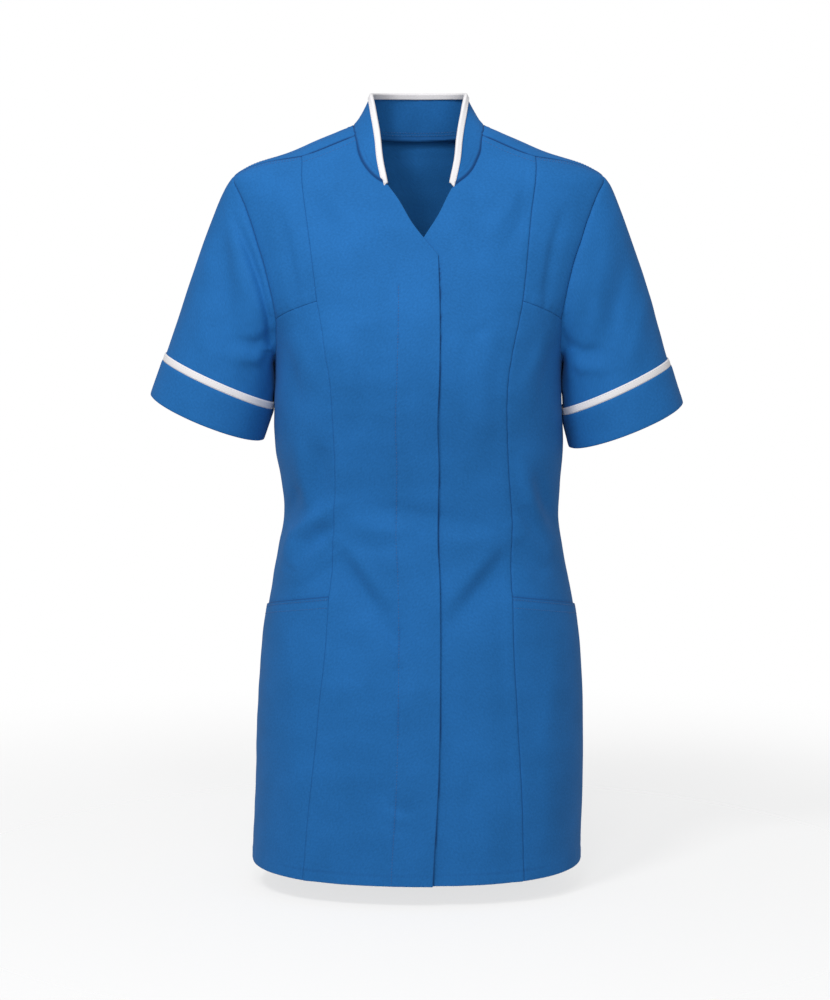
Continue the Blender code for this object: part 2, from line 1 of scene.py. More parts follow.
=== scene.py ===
import bpy
import numpy as np
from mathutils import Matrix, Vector


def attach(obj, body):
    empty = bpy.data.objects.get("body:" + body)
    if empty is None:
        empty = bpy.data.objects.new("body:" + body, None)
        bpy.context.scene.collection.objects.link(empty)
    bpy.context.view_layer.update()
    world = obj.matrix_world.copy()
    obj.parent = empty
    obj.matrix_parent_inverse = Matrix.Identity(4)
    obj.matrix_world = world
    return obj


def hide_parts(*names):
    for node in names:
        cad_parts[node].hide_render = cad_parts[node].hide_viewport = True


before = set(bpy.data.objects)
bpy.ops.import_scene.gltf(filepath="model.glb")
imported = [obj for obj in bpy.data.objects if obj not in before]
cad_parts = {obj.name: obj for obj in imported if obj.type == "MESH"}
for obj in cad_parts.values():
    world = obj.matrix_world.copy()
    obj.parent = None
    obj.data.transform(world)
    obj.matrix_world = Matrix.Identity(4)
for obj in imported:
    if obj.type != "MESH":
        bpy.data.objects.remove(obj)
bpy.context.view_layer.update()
print("frame loaded with", len(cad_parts), "nodes")

# Every size below is in millimetres, X across, front towards -Y, Z up, and this turns it to metres
metres = 0.001

# The filled-out body: level, half width, depth of front and back, and how square each half of the ring is
body = {
    "columns": ("level", "halfWidth", "front", "back", "frontPower", "backPower"),
    "rings": (
        (-800, 173.5, 124, 116, 2.25, 2.3), (-745, 173.5, 124, 115, 2.25, 2.3),
        (-680, 173.0, 123, 113, 2.25, 2.3), (-614, 171.5, 121, 110, 2.25, 2.3),
        (-565, 168.8, 119, 105, 2.25, 2.3), (-532, 166.2, 116, 100, 2.25, 2.3),
        (-500, 162.0, 113, 95, 2.25, 2.3), (-467, 156.0, 109, 87, 2.25, 2.3),
        (-435, 150.0, 106, 81, 2.25, 2.3), (-403, 145.5, 104, 77, 2.3, 2.3),
        (-370, 147.0, 105, 77, 2.35, 2.35), (-330, 151.5, 110, 82, 2.4, 2.4),
        (-280, 151.0, 119, 90, 2.5, 2.4), (-240, 151.0, 122, 94, 2.5, 2.4), (-200, 158.0, 117, 96, 2.45, 2.4),
        (-160, 175.0, 106, 95, 2.4, 2.3), (-117, 187.0, 92, 92, 2.3, 2.2), (-80, 196.0, 78, 88, 2.1, 2.1),
        (-60, 198.5, 70, 84, 2.0, 2.0), (-44, 193.0, 60, 80, 2.0, 2.0), (-32, 172.5, 50, 77, 2.0, 2.0),
        (-20, 136.5, 42, 74, 2.0, 2.0), (-8, 108.5, 33, 69, 2.0, 2.0), (2, 84.5, 24, 56, 2.0, 2.0),
        (8, 70.5, 17.5, 36, 2.0, 2.0), (13, 61.0, 12, 24, 2.0, 2.0),
    ),
    # the waist and skirt sit a little to one side: level, shift across
    "sway": ((-800, -2.2), (-745, -1.0), (-680, 1.0), (-600, 2.0), (-500, 2.4), (-435, 2.0), (-385, 3.0),
             (-345, 1.6), (-300, 0), (-200, 0)),
}

# How the cloth is sewn
sewing = {
    "wall": 1.0,        # one layer as it stands
    "foldedWall": 1.5,  # hems and turned edges
    "rimRound": 0.32,   # how far an edge bulges, as a share of its wall
    "seamGap": 0.36,    # left between two sewn edges
    "seamDip": 1.0,     # how deep a seam line is drawn in
    "seamRoll": 0.95,   # half width of that groove
    "allowance": 10.0,  # pressed seam allowance under the cloth
    "hemStitch": 12.0,  # up from the hem's edge
    "twinStitch": (2.0, 5.0),  # the two lines beside a topstitched seam
    "waves": ((0.42, 150.0), (0.28, 74.0), (0.13, 31.0)),  # height and length of the cloth's own unevenness
    "stitchPitch": 3.2,
    "stitchLength": 2.3,
    "stitchWidth": 0.62,
}

# Main creases: half width, height, then points across and level; a ridge is up, a trough is down
creaseGain = 1.9
frontCreases = (
    (10, 3.4, (-90, -384), (-112, -400), (-132, -418), (-142, -452)),
    (9, -2.4, (-92, -404), (-113, -426), (-128, -450)),
    (8, -2.1, (-128, -366), (-138, -392), (-145, -410)),
    (12, 2.0, (-98, -420), (-118, -438), (-134, -452)),
    (8, -1.1, (-94, -446), (-112, -462), (-128, -474)),
    (8, 1.9, (-124, -316), (-121, -352), (-117, -390)),
    (9, -2.0, (-100, -322), (-103, -354), (-105, -384)),
    (15, -3.2, (-86, -432), (-62, -468), (-44, -492)),
    (14, -2.6, (-48, -488), (-28, -516), (-17, -540), (-14, -572)),
    (12, 1.5, (-72, -430), (-48, -462), (-30, -488)),
    (16, -2.7, (92, -435), (64, -468), (30, -508)),
    (11, 1.1, (82, -420), (54, -452), (26, -486)),
    (10, 3.1, (104, -340), (112, -382), (123, -410), (140, -442)),
    (8, -2.4, (120, -352), (131, -388), (145, -414)),
    (9, -1.7, (103, -384), (117, -410), (134, -432)),
    (12, 1.5, (97, -394), (112, -418), (134, -448)),
    (8, -1.0, (97, -420), (114, -444), (130, -462)),
    (17, -1.7, (-62, -384), (-10, -392), (60, -403)),
    (11, 0.9, (-70, -402), (-30, -408), (-4, -404)),
    (10, 0.8, (14, -412), (46, -420), (78, -414)),
    (9, -0.7, (-74, -420), (-44, -428), (-20, -424)),
    (13, 1.2, (-84, -198), (-72, -236), (-70, -290)),
    (15, -1.1, (-62, -196), (-54, -240), (-56, -300)),
    (14, 1.1, (74, -202), (64, -246), (66, -306)),
    (15, -1.0, (50, -200), (46, -250), (50, -310)),
    (10, 1.0, (-128, -204), (-118, -232), (-106, -262)),
    (9, 1.0, (131, -206), (120, -236), (106, -264)),
    (8, -0.8, (-140, -214), (-130, -246), (-121, -286)),
    (8, -0.8, (142, -216), (132, -250), (124, -290)),
    (9, 0.9, (-100, -44), (-84, -74), (-66, -98)),
    (9, -0.8, (-112, -60), (-96, -92), (-78, -118)),
    (9, 0.9, (104, -50), (92, -80), (74, -104)),
    (9, -0.8, (118, -66), (102, -98), (84, -124)),
    (7, -1.1, (-146, -78), (-136, -112), (-128, -152), (-124, -184)),
    (7, -1.3, (150, -80), (140, -114), (133, -152), (130, -186)),
    (19, -1.2, (-52, -580), (-47, -660), (-44, -752)),
    (21, 1.4, (-78, -560), (-80, -650), (-86, -762)),
    (18, -1.0, (44, -570), (48, -660), (54, -756)),
    (20, 1.2, (72, -560), (76, -650), (84, -766)),
    (15, 1.0, (18, -600), (16, -690), (14, -770)),
    (8, -0.9, (-30, -690), (-14, -698), (-4, -696)),
    (7, 0.8, (-32, -700), (-12, -708)),
    (9, -0.8, (58, -196), (66, -210)),
    (12, 0.9, (-138, -520), (-128, -620), (-132, -740)),
    (12, 0.9, (140, -530), (130, -620), (134, -738)),
)
backCreases = (
    (17, 2.7, (-126, -398), (-76, -388), (-26, -377)),
    (12, -1.5, (-122, -414), (-76, -405), (-30, -394)),
    (16, 2.3, (-28, -406), (20, -398), (74, -387)),
    (11, -1.4, (-22, -422), (24, -414), (70, -403)),
    (16, 2.5, (36, -426), (84, -414), (132, -398)),
    (10, -1.4, (42, -440), (88, -430), (128, -416)),
    (15, 1.9, (-114, -441), (-66, -434), (-16, -424)),
    (10, -1.2, (-104, -454), (-62, -448), (-20, -440)),
    (17, 1.6, (-62, -350), (0, -351), (58, -359)),
    (12, -1.0, (-70, -366), (-8, -364), (50, -373)),
    (31, -3.1, (-72, -545), (-60, -650), (-50, -765)),
    (31, -3.1, (60, -545), (70, -650), (80, -765)),
    (31, 2.7, (0, -585), (3, -680), (8, -775)),
    (22, 1.6, (-112, -570), (-104, -670), (-100, -765)),
    (22, 1.5, (108, -575), (116, -670), (124, -765)),
    (20, 1.5, (-96, -110), (-74, -170), (-58, -240)),
    (20, 1.5, (96, -112), (72, -172), (60, -244)),
    (18, -1.2, (-70, -112), (-50, -170), (-38, -232)),
    (18, -1.2, (66, -116), (48, -174), (40, -236)),
    (10, -1.1, (-134, -96), (-128, -140), (-134, -186)),
    (10, -1.1, (134, -98), (128, -142), (134, -188)),
    (13, 1.1, (-140, -226), (-112, -256), (-84, -276)),
    (13, 1.1, (142, -228), (114, -258), (82, -280)),
)
# the same, on the front and back of both sleeves
sleeveCreases = {
    "front": (
        (6.5, -3.0, (-192, -88), (-176, -124), (-163, -158), (-155, -192), (-154, -218)),
        (6, 1.3, (-183, -88), (-168, -120), (-158, -150), (-152, -178)),
        (12, 1.3, (-200, -92), (-188, -130), (-176, -172), (-172, -214)),
        (13, -1.9, (-203, -98), (-203, -140), (-198, -190), (-196, -226)),
        (12, 1.2, (-219, -110), (-220, -150), (-216, -200)),
        (11, 1.0, (-236, -150), (-226, -196), (-222, -226)),
        (8, -1.3, (-150, -206), (-170, -218), (-190, -214)),
        (8, 1.1, (-152, -222), (-172, -234), (-196, -232)),
        (9, 1.7, (174, -68), (161, -98), (150, -134), (146, -166)),
        (8, -1.6, (160, -74), (150, -108), (142, -144), (140, -180)),
        (12, 1.1, (200, -100), (190, -152), (182, -210)),
        (11, -1.2, (216, -134), (206, -180), (200, -222)),
        (10, 1.0, (240, -166), (228, -206), (220, -236)),
        (8, -1.2, (150, -214), (170, -226), (192, -224)),
        (8, 1.1, (154, -232), (172, -244), (198, -244)),
    ),
    "behind": (
        (12, 1.5, (-176, -74), (-162, -110), (-152, -150)),
        (11, -1.4, (-192, -100), (-180, -150), (-172, -200)),
        (12, 1.2, (-214, -130), (-202, -180), (-196, -222)),
        (10, -1.2, (-160, -206), (-182, -222), (-206, -224)),
        (12, 1.5, (178, -76), (164, -112), (154, -152)),
        (11, -1.4, (194, -102), (182, -152), (174, -204)),
        (12, 1.2, (216, -134), (204, -184), (198, -226)),
        (10, -1.2, (160, -212), (182, -226), (206, -230)),
    ),
}


def smoothThrough(places, values, at):
    # cubic pieces through a table's rows, each slope taken from the rows either side; any shape of at
    places = np.asarray(places, float)
    values = np.asarray(values, float)
    order = np.argsort(places)
    places, values = places[order], values[order]
    slopes = np.gradient(values, places, axis=0)
    at = np.clip(np.asarray(at, float), places[0], places[-1])
    row = np.clip(np.searchsorted(places, at) - 1, 0, len(places) - 2)
    extra = (1,) * (values.ndim - 1)
    step = (places[row + 1] - places[row]).reshape(at.shape + extra)
    t = ((at - places[row]).reshape(at.shape + extra)) / step
    return ((2 * t**3 - 3 * t**2 + 1) * values[row] + (t**3 - 2 * t**2 + t) * step * slopes[row]
            + (3 * t**2 - 2 * t**3) * values[row + 1] + (t**3 - t**2) * step * slopes[row + 1])


def unit(vectors):
    # each vector over its own length
    return vectors / np.maximum(np.linalg.norm(vectors, axis=-1, keepdims=True), 1e-9)


def ease(t):
    # 0 to 1 with flat ends: 3t^2 - 2t^3
    t = np.clip(t, 0, 1)
    return t * t * (3 - 2 * t)


def bodySize(name, level):
    # one column of the rings, read smoothly at these levels
    column = body["columns"].index(name)
    return smoothThrough([r[0] for r in body["rings"]], [r[column] for r in body["rings"]], level)


def swayAt(level):
    # shift across, read smoothly at these levels
    return smoothThrough([r[0] for r in body["sway"]], [r[1] for r in body["sway"]], level)


def bodyPoint(turn, level):
    # superellipse ring, turn 0 in front: radius = (|sin|^p + |cos|^p)^(-1/p),
    # stretched by half width and depth
    angle = np.radians(np.asarray(turn, float))
    level = np.asarray(level, float)
    front = np.cos(angle) >= 0
    power = np.where(front, bodySize("frontPower", level), bodySize("backPower", level))
    depth = np.where(front, bodySize("front", level), bodySize("back", level))
    radius = (np.abs(np.sin(angle))**power + np.abs(np.cos(angle))**power)**(-1 / power)
    x = -bodySize("halfWidth", level) * radius * np.sin(angle)
    return np.stack([x, -depth * radius * np.cos(angle), level + 0 * x], axis=-1)


def turnFor(across, level):
    # the turn on the front half that lies this far across
    part = np.clip(np.asarray(across, float) / bodySize("halfWidth", level), -1, 1)
    power = bodySize("frontPower", level)
    return np.degrees(np.arctan2(part, (1 - np.abs(part)**power)**(1 / power)))


def bodyLevel(points):
    # (|x| / half width)^p + (|y| / depth)^p - 1, below zero inside
    x, y, z = points[..., 0], points[..., 1], points[..., 2]
    front = y < 0
    power = np.where(front, bodySize("frontPower", z), bodySize("backPower", z))
    depth = np.where(front, bodySize("front", z), bodySize("back", z))
    return (np.abs(x) / bodySize("halfWidth", z))**power + (np.abs(y) / depth)**power - 1


def bodySlope(points):
    # the level function's change per mm along X, Y and Z, by central differences
    step = 0.5
    return np.stack([(bodyLevel(points + step * axis) - bodyLevel(points - step * axis)) / (2 * step)
                     for axis in np.eye(3)], axis=-1)


def ontoBody(points):
    # two steps down the slope of the level function
    for _ in range(2):
        slope = bodySlope(points)
        points = points - slope * (bodyLevel(points) / np.sum(slope**2, axis=-1))[..., None]
    return points


def lineAt(table, shares):
    # points of a smooth curve through a table's rows, at shares of its length
    rows = np.asarray(table, float)
    run = np.concatenate([[0], np.cumsum(np.linalg.norm(np.diff(rows, axis=0), axis=1))])
    curve = smoothThrough(run, rows, np.linspace(0, run[-1], 400))
    length = np.concatenate([[0], np.cumsum(np.linalg.norm(np.diff(curve, axis=0), axis=1))])
    return np.stack([np.interp(np.asarray(shares) * length[-1], length, curve[:, k])
                     for k in range(rows.shape[1])], axis=-1)


def acrossAt(table, levels):
    # how far across a cut line lies at these levels
    rows = np.asarray(table, float)
    return smoothThrough(rows[:, 1], rows[:, 0], levels)


def spread(first, last, shares):
    # straight lines in turn and level from one seam to the other
    shares = np.asarray(shares)[None, :, None]
    return first[:, None, :] * (1 - shares) + last[:, None, :] * shares


def marks(count, fine):
    # 0 to count in fine steps, with two more rows close to each sewn or turned edge
    near = np.array([0.22, 0.52]) / fine
    even = np.arange(count * fine + 1) / fine
    return np.unique(np.round(np.concatenate([even, near, count - near]), 6))


def creaseHeight(points, creases):
    # each crease falls off as exp(-(distance / half width)^2), steeper on one side, and fades at its ends
    total = np.zeros(points.shape[:-1])
    flat = points[..., [0, 2]]
    for number, crease in enumerate(creases):
        width, height = crease[:2]
        path = np.array(crease[2:], float)
        lengths = np.linalg.norm(np.diff(path, axis=0), axis=1)
        starts = np.concatenate([[0], np.cumsum(lengths)])
        best = np.full(total.shape, 1e9)
        share = np.zeros(total.shape)
        for k in range(len(path) - 1):
            run = path[k + 1] - path[k]
            place = flat - path[k]
            along = np.clip((place @ run) / (run @ run), 0, 1)
            away = place - along[..., None] * run
            turned = np.sign(place[..., 0] * run[1] - place[..., 1] * run[0]) * (1 if number % 2 else -1)
            distance = np.linalg.norm(away, axis=-1) / (width * (1 + 0.25 * turned))
            closer = distance < best
            best = np.where(closer, distance, best)
            share = np.where(closer, (starts[k] + along * lengths[k]) / starts[-1], share)
        fade = 0.25 + 0.75 * np.sin(np.pi * np.clip(share, 0, 1))**0.7
        total += creaseGain * height * fade * np.exp(-best**2)
    return total


def clothWave(points, seed, parts):
    # a few sine waves in fixed directions: amplitude, wavelength
    chance = np.random.default_rng(seed)
    total = np.zeros(points.shape[:-1])
    for amplitude, length in parts:
        for _ in range(3):
            heading = unit(chance.normal(size=3) * np.array([1.0, 0.8, 0.6]))
            total += amplitude / 1.7 * np.sin(points @ heading * 2 * np.pi / length + chance.uniform(0, 6.28))
    return total


def reachOf(grid):
    # distance in mm along the cloth from a grid's first and last row, and from its first and last column
    across = np.concatenate([np.zeros((len(grid), 1)),
                             np.cumsum(np.linalg.norm(np.diff(grid, axis=1), axis=-1), axis=1)], axis=1)
    down = np.concatenate([np.zeros((1, grid.shape[1])),
                           np.cumsum(np.linalg.norm(np.diff(grid, axis=0), axis=-1), axis=0)], axis=0)
    return down, down[-1:] - down, across, across[:, -1:] - across


def seamRelief(distance, allowance, drawn=1.0):
    # a groove drawn in at the seam, and the pressed allowance lifting the cloth beside it
    groove = -drawn * sewing["seamDip"] * np.exp(-(distance / sewing["seamRoll"])**2)
    return groove + allowance * 0.5 * (1 - np.tanh((distance - sewing["allowance"]) / 1.3))


def stitchRelief(distance, place, along, pucker=0.16):
    # a thread line pulled in, with small puckers that die out beside it
    away = distance - place
    line = -0.30 * np.exp(-(away / 1.1)**2)
    wave = np.sin(along * 0.62) + 0.7 * np.sin(along * 0.37 + 1.9) + 0.5 * np.sin(along * 1.05 + 0.7)
    return line + pucker * wave * np.exp(-(away / 6.0)**2)


def puckers(distance, along):
    # small waves beside a seam, dying out within the allowance
    return 0.16 * np.sin(along * 0.33 + 1) * np.exp(-(distance / 5)**2)


def hemRelief(high, along):
    # the hem's stitches, and the cloth below them lifted by its own turning
    return stitchRelief(high, sewing["hemStitch"], along) + 0.25 * (1 - ease((high - 11) / 2))


def hemTurn(high):
    # 1 on the turned hem, 0 above it
    return 1 - ease((high - 11.5) / 2)


def wallFor(turned, folded=sewing["foldedWall"]):
    # one layer, going over to the folded thickness where turned is 1
    return sewing["wall"] + (folded - sewing["wall"]) * turned


def pullIn(grid, edges, amount):
    # the rows or columns at these edges move inward, square to the edge
    grid = grid.copy()
    for edge in edges:
        side = {"low": grid, "high": grid[::-1], "start": grid.swapaxes(0, 1),
                "end": grid.swapaxes(0, 1)[::-1]}[edge]
        inward = side[1] - side[0]
        tangent = unit(np.gradient(side[0], axis=0))
        inward = inward - np.sum(inward * tangent, axis=-1, keepdims=True) * tangent
        side[0] += unit(inward) * amount
    return grid


def addPiece(name, mesh):
    # an object at the origin, linked to the scene
    piece = bpy.data.objects.new(name, mesh)
    bpy.context.scene.collection.objects.link(piece)
    return piece


def rimPaths(rows, columns, wrapped):
    # rows and columns met along each open edge: one loop round a flat grid, or both ends of a tube
    wide, tall = np.arange(columns), np.arange(rows)
    if wrapped:
        wide = np.arange(columns + 1)
        return [(0 * wide, wide), (0 * wide + rows - 1, wide[::-1])]
    atRow = np.concatenate([0 * wide, tall[1:], 0 * wide[1:] + rows - 1, tall[-2::-1]])
    atColumn = np.concatenate([wide, 0 * tall[1:] + columns - 1, wide[-2::-1], 0 * tall[1:]])
    return [(atRow, atColumn)]


def squares(numbers):
    # the four corners of every cell of a grid of vertex numbers
    corners = [numbers[:-1, :-1], numbers[:-1, 1:], numbers[1:, 1:], numbers[1:, :-1]]
    return np.stack(corners, -1).reshape(-1, 4)


def clothMesh(name, points, faces, mapPoints, mapFaces):
    # smooth quads, with the cloth's own map of metres as their UV
    mesh = bpy.data.meshes.new(name)
    mesh.vertices.add(len(points))
    mesh.vertices.foreach_set("co", points.ravel())
    mesh.loops.add(faces.size)
    mesh.loops.foreach_set("vertex_index", faces.ravel().astype(np.int32))
    mesh.polygons.add(len(faces))
    mesh.polygons.foreach_set("loop_start", np.arange(0, faces.size, 4, dtype=np.int32))
    layer = mesh.uv_layers.new(name="clothMap")
    mesh.update(calc_edges=True)
    mesh.polygons.foreach_set("use_smooth", np.ones(len(faces), bool))
    layer.data.foreach_set("uv", mapPoints[mapFaces.ravel()].ravel())
    return mesh


def shellPiece(name, outer, inner, material, wrapped=False, dark=None):
    # two matching grids closed by a rounded rim; the map holds metres of cloth across and down
    # dark is painted shade, 0 to 1 over the grid, where the cloth turns into a seam
    rows, columns = outer.shape[:2]
    count = rows * columns
    number = np.arange(count).reshape(rows, columns)
    down, _, across, _ = reachOf(outer)
    mapNumber = number
    if wrapped:
        lap = np.linalg.norm(outer[:, 0] - outer[:, -1], axis=-1)
        across = np.concatenate([across, across[:, -1:] + lap[:, None]], axis=1)
        down = np.concatenate([down, down[:, :1]], axis=1)
        mapNumber = np.arange(rows * (columns + 1)).reshape(rows, columns + 1)
        number = np.concatenate([number, number[:, :1]], axis=1)
    faces = [squares(number), squares(number)[:, ::-1] + count]
    maps = [squares(mapNumber), squares(mapNumber)[:, ::-1]]
    points = [outer.reshape(-1, 3), inner.reshape(-1, 3)]
    total = 2 * count
    for atRow, atColumn in rimPaths(rows, columns, wrapped):
        real = atColumn % columns
        backRow = np.clip(atRow, 1, rows - 2)
        backColumn = real if wrapped else np.clip(real, 1, columns - 2)
        middle = (outer[atRow, real] + inner[atRow, real]) / 2
        beyond = unit(middle - (outer[backRow, backColumn] + inner[backRow, backColumn]) / 2)
        thick = np.linalg.norm(outer[atRow, real] - inner[atRow, real], axis=-1, keepdims=True)
        points.append(middle + beyond * thick * sewing["rimRound"])
        edge = number[atRow, atColumn]
        edgeMap = mapNumber[atRow, atColumn]
        mid = total + np.arange(len(atRow))
        if wrapped:
            mid[-1] = mid[0]
        total += len(atRow)
        faces += [np.stack([edge[1:], edge[:-1], mid[:-1], mid[1:]], -1),
                  np.stack([mid[1:], mid[:-1], edge[:-1] + count, edge[1:] + count], -1)]
        maps += [np.stack([edgeMap[1:], edgeMap[:-1], edgeMap[:-1], edgeMap[1:]], -1)] * 2
    points = np.concatenate(points) * metres
    faces, maps = np.concatenate(faces), np.concatenate(maps)
    # all faces turn over if the outer ones look inward
    first, second, _, fourth = points[faces[:count // 2]].swapaxes(0, 1)
    outward = first - points[faces[:count // 2, 0] + count]
    if np.sum(np.cross(second - first, fourth - first) * outward) < 0:
        faces, maps = faces[:, ::-1], maps[:, ::-1]
    mapPoints = np.stack([across, -down], axis=-1).reshape(-1, 2) * metres
    mesh = clothMesh(name, points, faces, mapPoints, maps)
    if dark is not None:
        # painted shade: the outer face takes dark, the inner face half of it, the rim none
        shade = mesh.attributes.new("seamShade", "FLOAT", "POINT")
        values = np.concatenate([dark.ravel(), dark.ravel() * 0.5, np.zeros(total - 2 * count)])
        shade.data.foreach_set("value", values)
    mesh.validate()
    mesh.materials.append(material)
    piece = addPiece(name, mesh)
    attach(piece, "root")
    return piece


def hexColour(text):
    # sRGB hex to linear
    parts = np.array([int(text[k:k + 2], 16) for k in (1, 3, 5)]) / 255
    linear = np.where(parts <= 0.04045, parts / 12.92, ((parts + 0.055) / 1.055)**2.4)
    return (*[float(v) for v in linear], 1.0)


def addNode(tree, kind, settings=None, links=None):
    # one node with its settings and its incoming links
    node = tree.nodes.new(kind)
    for name, value in (settings or {}).items():
        if not isinstance(name, int) and hasattr(node, name):
            setattr(node, name, value)
        else:
            node.inputs[name].default_value = value
    for name, source in (links or {}).items():
        tree.links.new(source, node.inputs[name])
    return node


def twoTones(tree, dark, light, share):
    # mixes two hex colours by a share from 0 to 1
    return addNode(tree, "ShaderNodeMix", {"data_type": "RGBA", 6: hexColour(dark), 7: hexColour(light)},
                   {0: share}).outputs[2]


def startMaterial(name):
    # a new node material with its tree and its Principled BSDF
    material = bpy.data.materials.new(name)
    material.use_nodes = True
    tree = material.node_tree
    return material, tree, tree.nodes["Principled BSDF"]


# Polyester and cotton twill, piece dyed hospital blue: matt, with a faint diagonal rib and slubs.
# The ribs are drawn at 0.6 mm, twice as coarse as real ones, so that they show.
# seam is the colour of painted shade, mixed into the cloth where it turns into a seam; colour and shade are
# the weave's own two tones
twill = {"colour": "#2270b9", "shade": "#145a96", "seam": "#0c3469", "ribMm": 0.6, "slubMm": 2.4,
         "patchMm": 46.0, "relief": 0.00012}


def twillMaterial():
    material, tree, surface = startMaterial("hospitalBlueTwill")
    place = addNode(tree, "ShaderNodeTexCoord")
    lines = addNode(tree, "ShaderNodeMapping", {"Rotation": (0, 0, 1.1)}, {"Vector": place.outputs["UV"]})
    ribs = addNode(tree, "ShaderNodeTexWave", {"Scale": 0.314 / (twill["ribMm"] * metres), "Distortion": 0.6,
                                              "Detail": 2.0, "Detail Scale": 2.0},
                   {"Vector": lines.outputs["Vector"]})
    slubs = addNode(tree, "ShaderNodeTexNoise", {"Scale": 1 / (twill["slubMm"] * metres), "Detail": 3.0,
                                                "Roughness": 0.6}, {"Vector": place.outputs["UV"]})
    patches = addNode(tree, "ShaderNodeTexNoise", {"Scale": 1 / (twill["patchMm"] * metres), "Detail": 2.0},
                      {"Vector": place.outputs["Object"]})
    grain = addNode(tree, "ShaderNodeMath", {"operation": "MULTIPLY_ADD", 1: 0.3},
                    {0: ribs.outputs["Fac"], 2: slubs.outputs["Fac"]})
    mixed = addNode(tree, "ShaderNodeMath", {"operation": "MULTIPLY_ADD", 1: 0.6},
                    {0: patches.outputs["Fac"], 2: grain.outputs["Value"]})
    shade = addNode(tree, "ShaderNodeMapRange", {"From Min": 0.5, "From Max": 1.4},
                    {"Value": mixed.outputs["Value"]})
    tone = twoTones(tree, twill["shade"], twill["colour"], shade.outputs["Result"])
    bump = addNode(tree, "ShaderNodeBump", {"Strength": 0.55, "Distance": twill["relief"]},
                   {"Height": grain.outputs["Value"]})
    # painted seam shade: the cloth's colour is mixed towards the dark seam blue where it turns down into a
    # seam, by the seamShade attribute
    seams = addNode(tree, "ShaderNodeAttribute", {"attribute_name": "seamShade"})
    colour = addNode(tree, "ShaderNodeMix", {"data_type": "RGBA", 7: hexColour(twill["seam"])},
                     {0: seams.outputs["Fac"], 6: tone})
    tree.links.new(colour.outputs[2], surface.inputs["Base Color"])
    tree.links.new(bump.outputs["Normal"], surface.inputs["Normal"])
    surface.inputs["Roughness"].default_value = 0.82
    surface.inputs["Specular IOR Level"].default_value = 0.22
    surface.inputs["Sheen Weight"].default_value = 0.08
    surface.inputs["Sheen Roughness"].default_value = 0.45
    surface.inputs["Sheen Tint"].default_value = hexColour("#9cc4f0")
    return material


# Bleached cotton twill tape: white, soft, with fine cross ribs
tape = {"colour": "#eeecee", "shade": "#e2e0e2", "ribMm": 1.0, "relief": 0.00014}


def tapeMaterial():
    material, tree, surface = startMaterial("whiteCottonTape")
    place = addNode(tree, "ShaderNodeTexCoord")
    ribs = addNode(tree, "ShaderNodeTexWave", {"Scale": 0.314 / (tape["ribMm"] * metres), "Distortion": 0.4},
                   {"Vector": place.outputs["UV"]})
    lint = addNode(tree, "ShaderNodeTexNoise", {"Scale": 600.0, "Detail": 2.0},
                   {"Vector": place.outputs["UV"]})
    grain = addNode(tree, "ShaderNodeMath", {"operation": "MULTIPLY_ADD", 1: 0.6},
                    {0: ribs.outputs["Fac"], 2: lint.outputs["Fac"]})
    shade = addNode(tree, "ShaderNodeMapRange", {"From Min": 0.3, "From Max": 1.3},
                    {"Value": grain.outputs["Value"]})
    tone = twoTones(tree, tape["shade"], tape["colour"], shade.outputs["Result"])
    bump = addNode(tree, "ShaderNodeBump", {"Strength": 0.5, "Distance": tape["relief"]},
                   {"Height": grain.outputs["Value"]})
    tree.links.new(tone, surface.inputs["Base Color"])
    tree.links.new(bump.outputs["Normal"], surface.inputs["Normal"])
    surface.inputs["Roughness"].default_value = 0.85
    surface.inputs["Sheen Weight"].default_value = 0.12
    return material


def threadMaterial(name, light, dark):
    # spun polyester sewing thread: a little brighter than the cloth, uneven along its length
    material, tree, surface = startMaterial(name)
    place = addNode(tree, "ShaderNodeTexCoord")
    twist = addNode(tree, "ShaderNodeTexNoise", {"Scale": 900.0, "Detail": 1.0},
                    {"Vector": place.outputs["Object"]})
    tree.links.new(twoTones(tree, dark, light, twist.outputs["Fac"]), surface.inputs["Base Color"])
    surface.inputs["Roughness"].default_value = 0.6
    surface.inputs["Sheen Weight"].default_value = 0.2
    return material


blueTwill = twillMaterial()
whiteTape = tapeMaterial()
blueThread = threadMaterial("blueThread", "#2a69ab", "#184f8e")
whiteThread = threadMaterial("whiteThread", "#f2f0f0", "#d9d7d8")
print("materials ready")


def lineIn(grid, distance, place):
    # where each row of a grid reaches this distance, by straight steps between its columns
    after = np.clip((distance < place).sum(axis=1), 1, grid.shape[1] - 1)
    row = np.arange(len(grid))
    low, high = distance[row, after - 1], distance[row, after]
    t = np.clip((place - low) / np.maximum(high - low, 1e-6), 0, 1)[:, None]
    return grid[row, after - 1] * (1 - t) + grid[row, after] * t


threadLines = {"blue": [], "white": []}


def sewAlong(outer, inner, distance, place, kind="blue", inside=False, trimEnd=0.0):
    # remember a line of stitches that runs down a grid at this distance
    top, under = lineIn(outer, distance, place), lineIn(inner, distance, place)
    out = unit(top - under)
    line = under if inside else top
    run = np.concatenate([[0], np.cumsum(np.linalg.norm(np.diff(line, axis=0), axis=1))])
    kept = run <= run[-1] - trimEnd
    threadLines[kind].append((line[kept], -out[kept] if inside else out[kept]))


def sewAcross(outer, inner, distance, place, kind="blue", inside=False):
    # the same for a line that runs across a grid
    sewAlong(outer.swapaxes(0, 1), inner.swapaxes(0, 1), distance.swapaxes(0, 1), place, kind, inside)


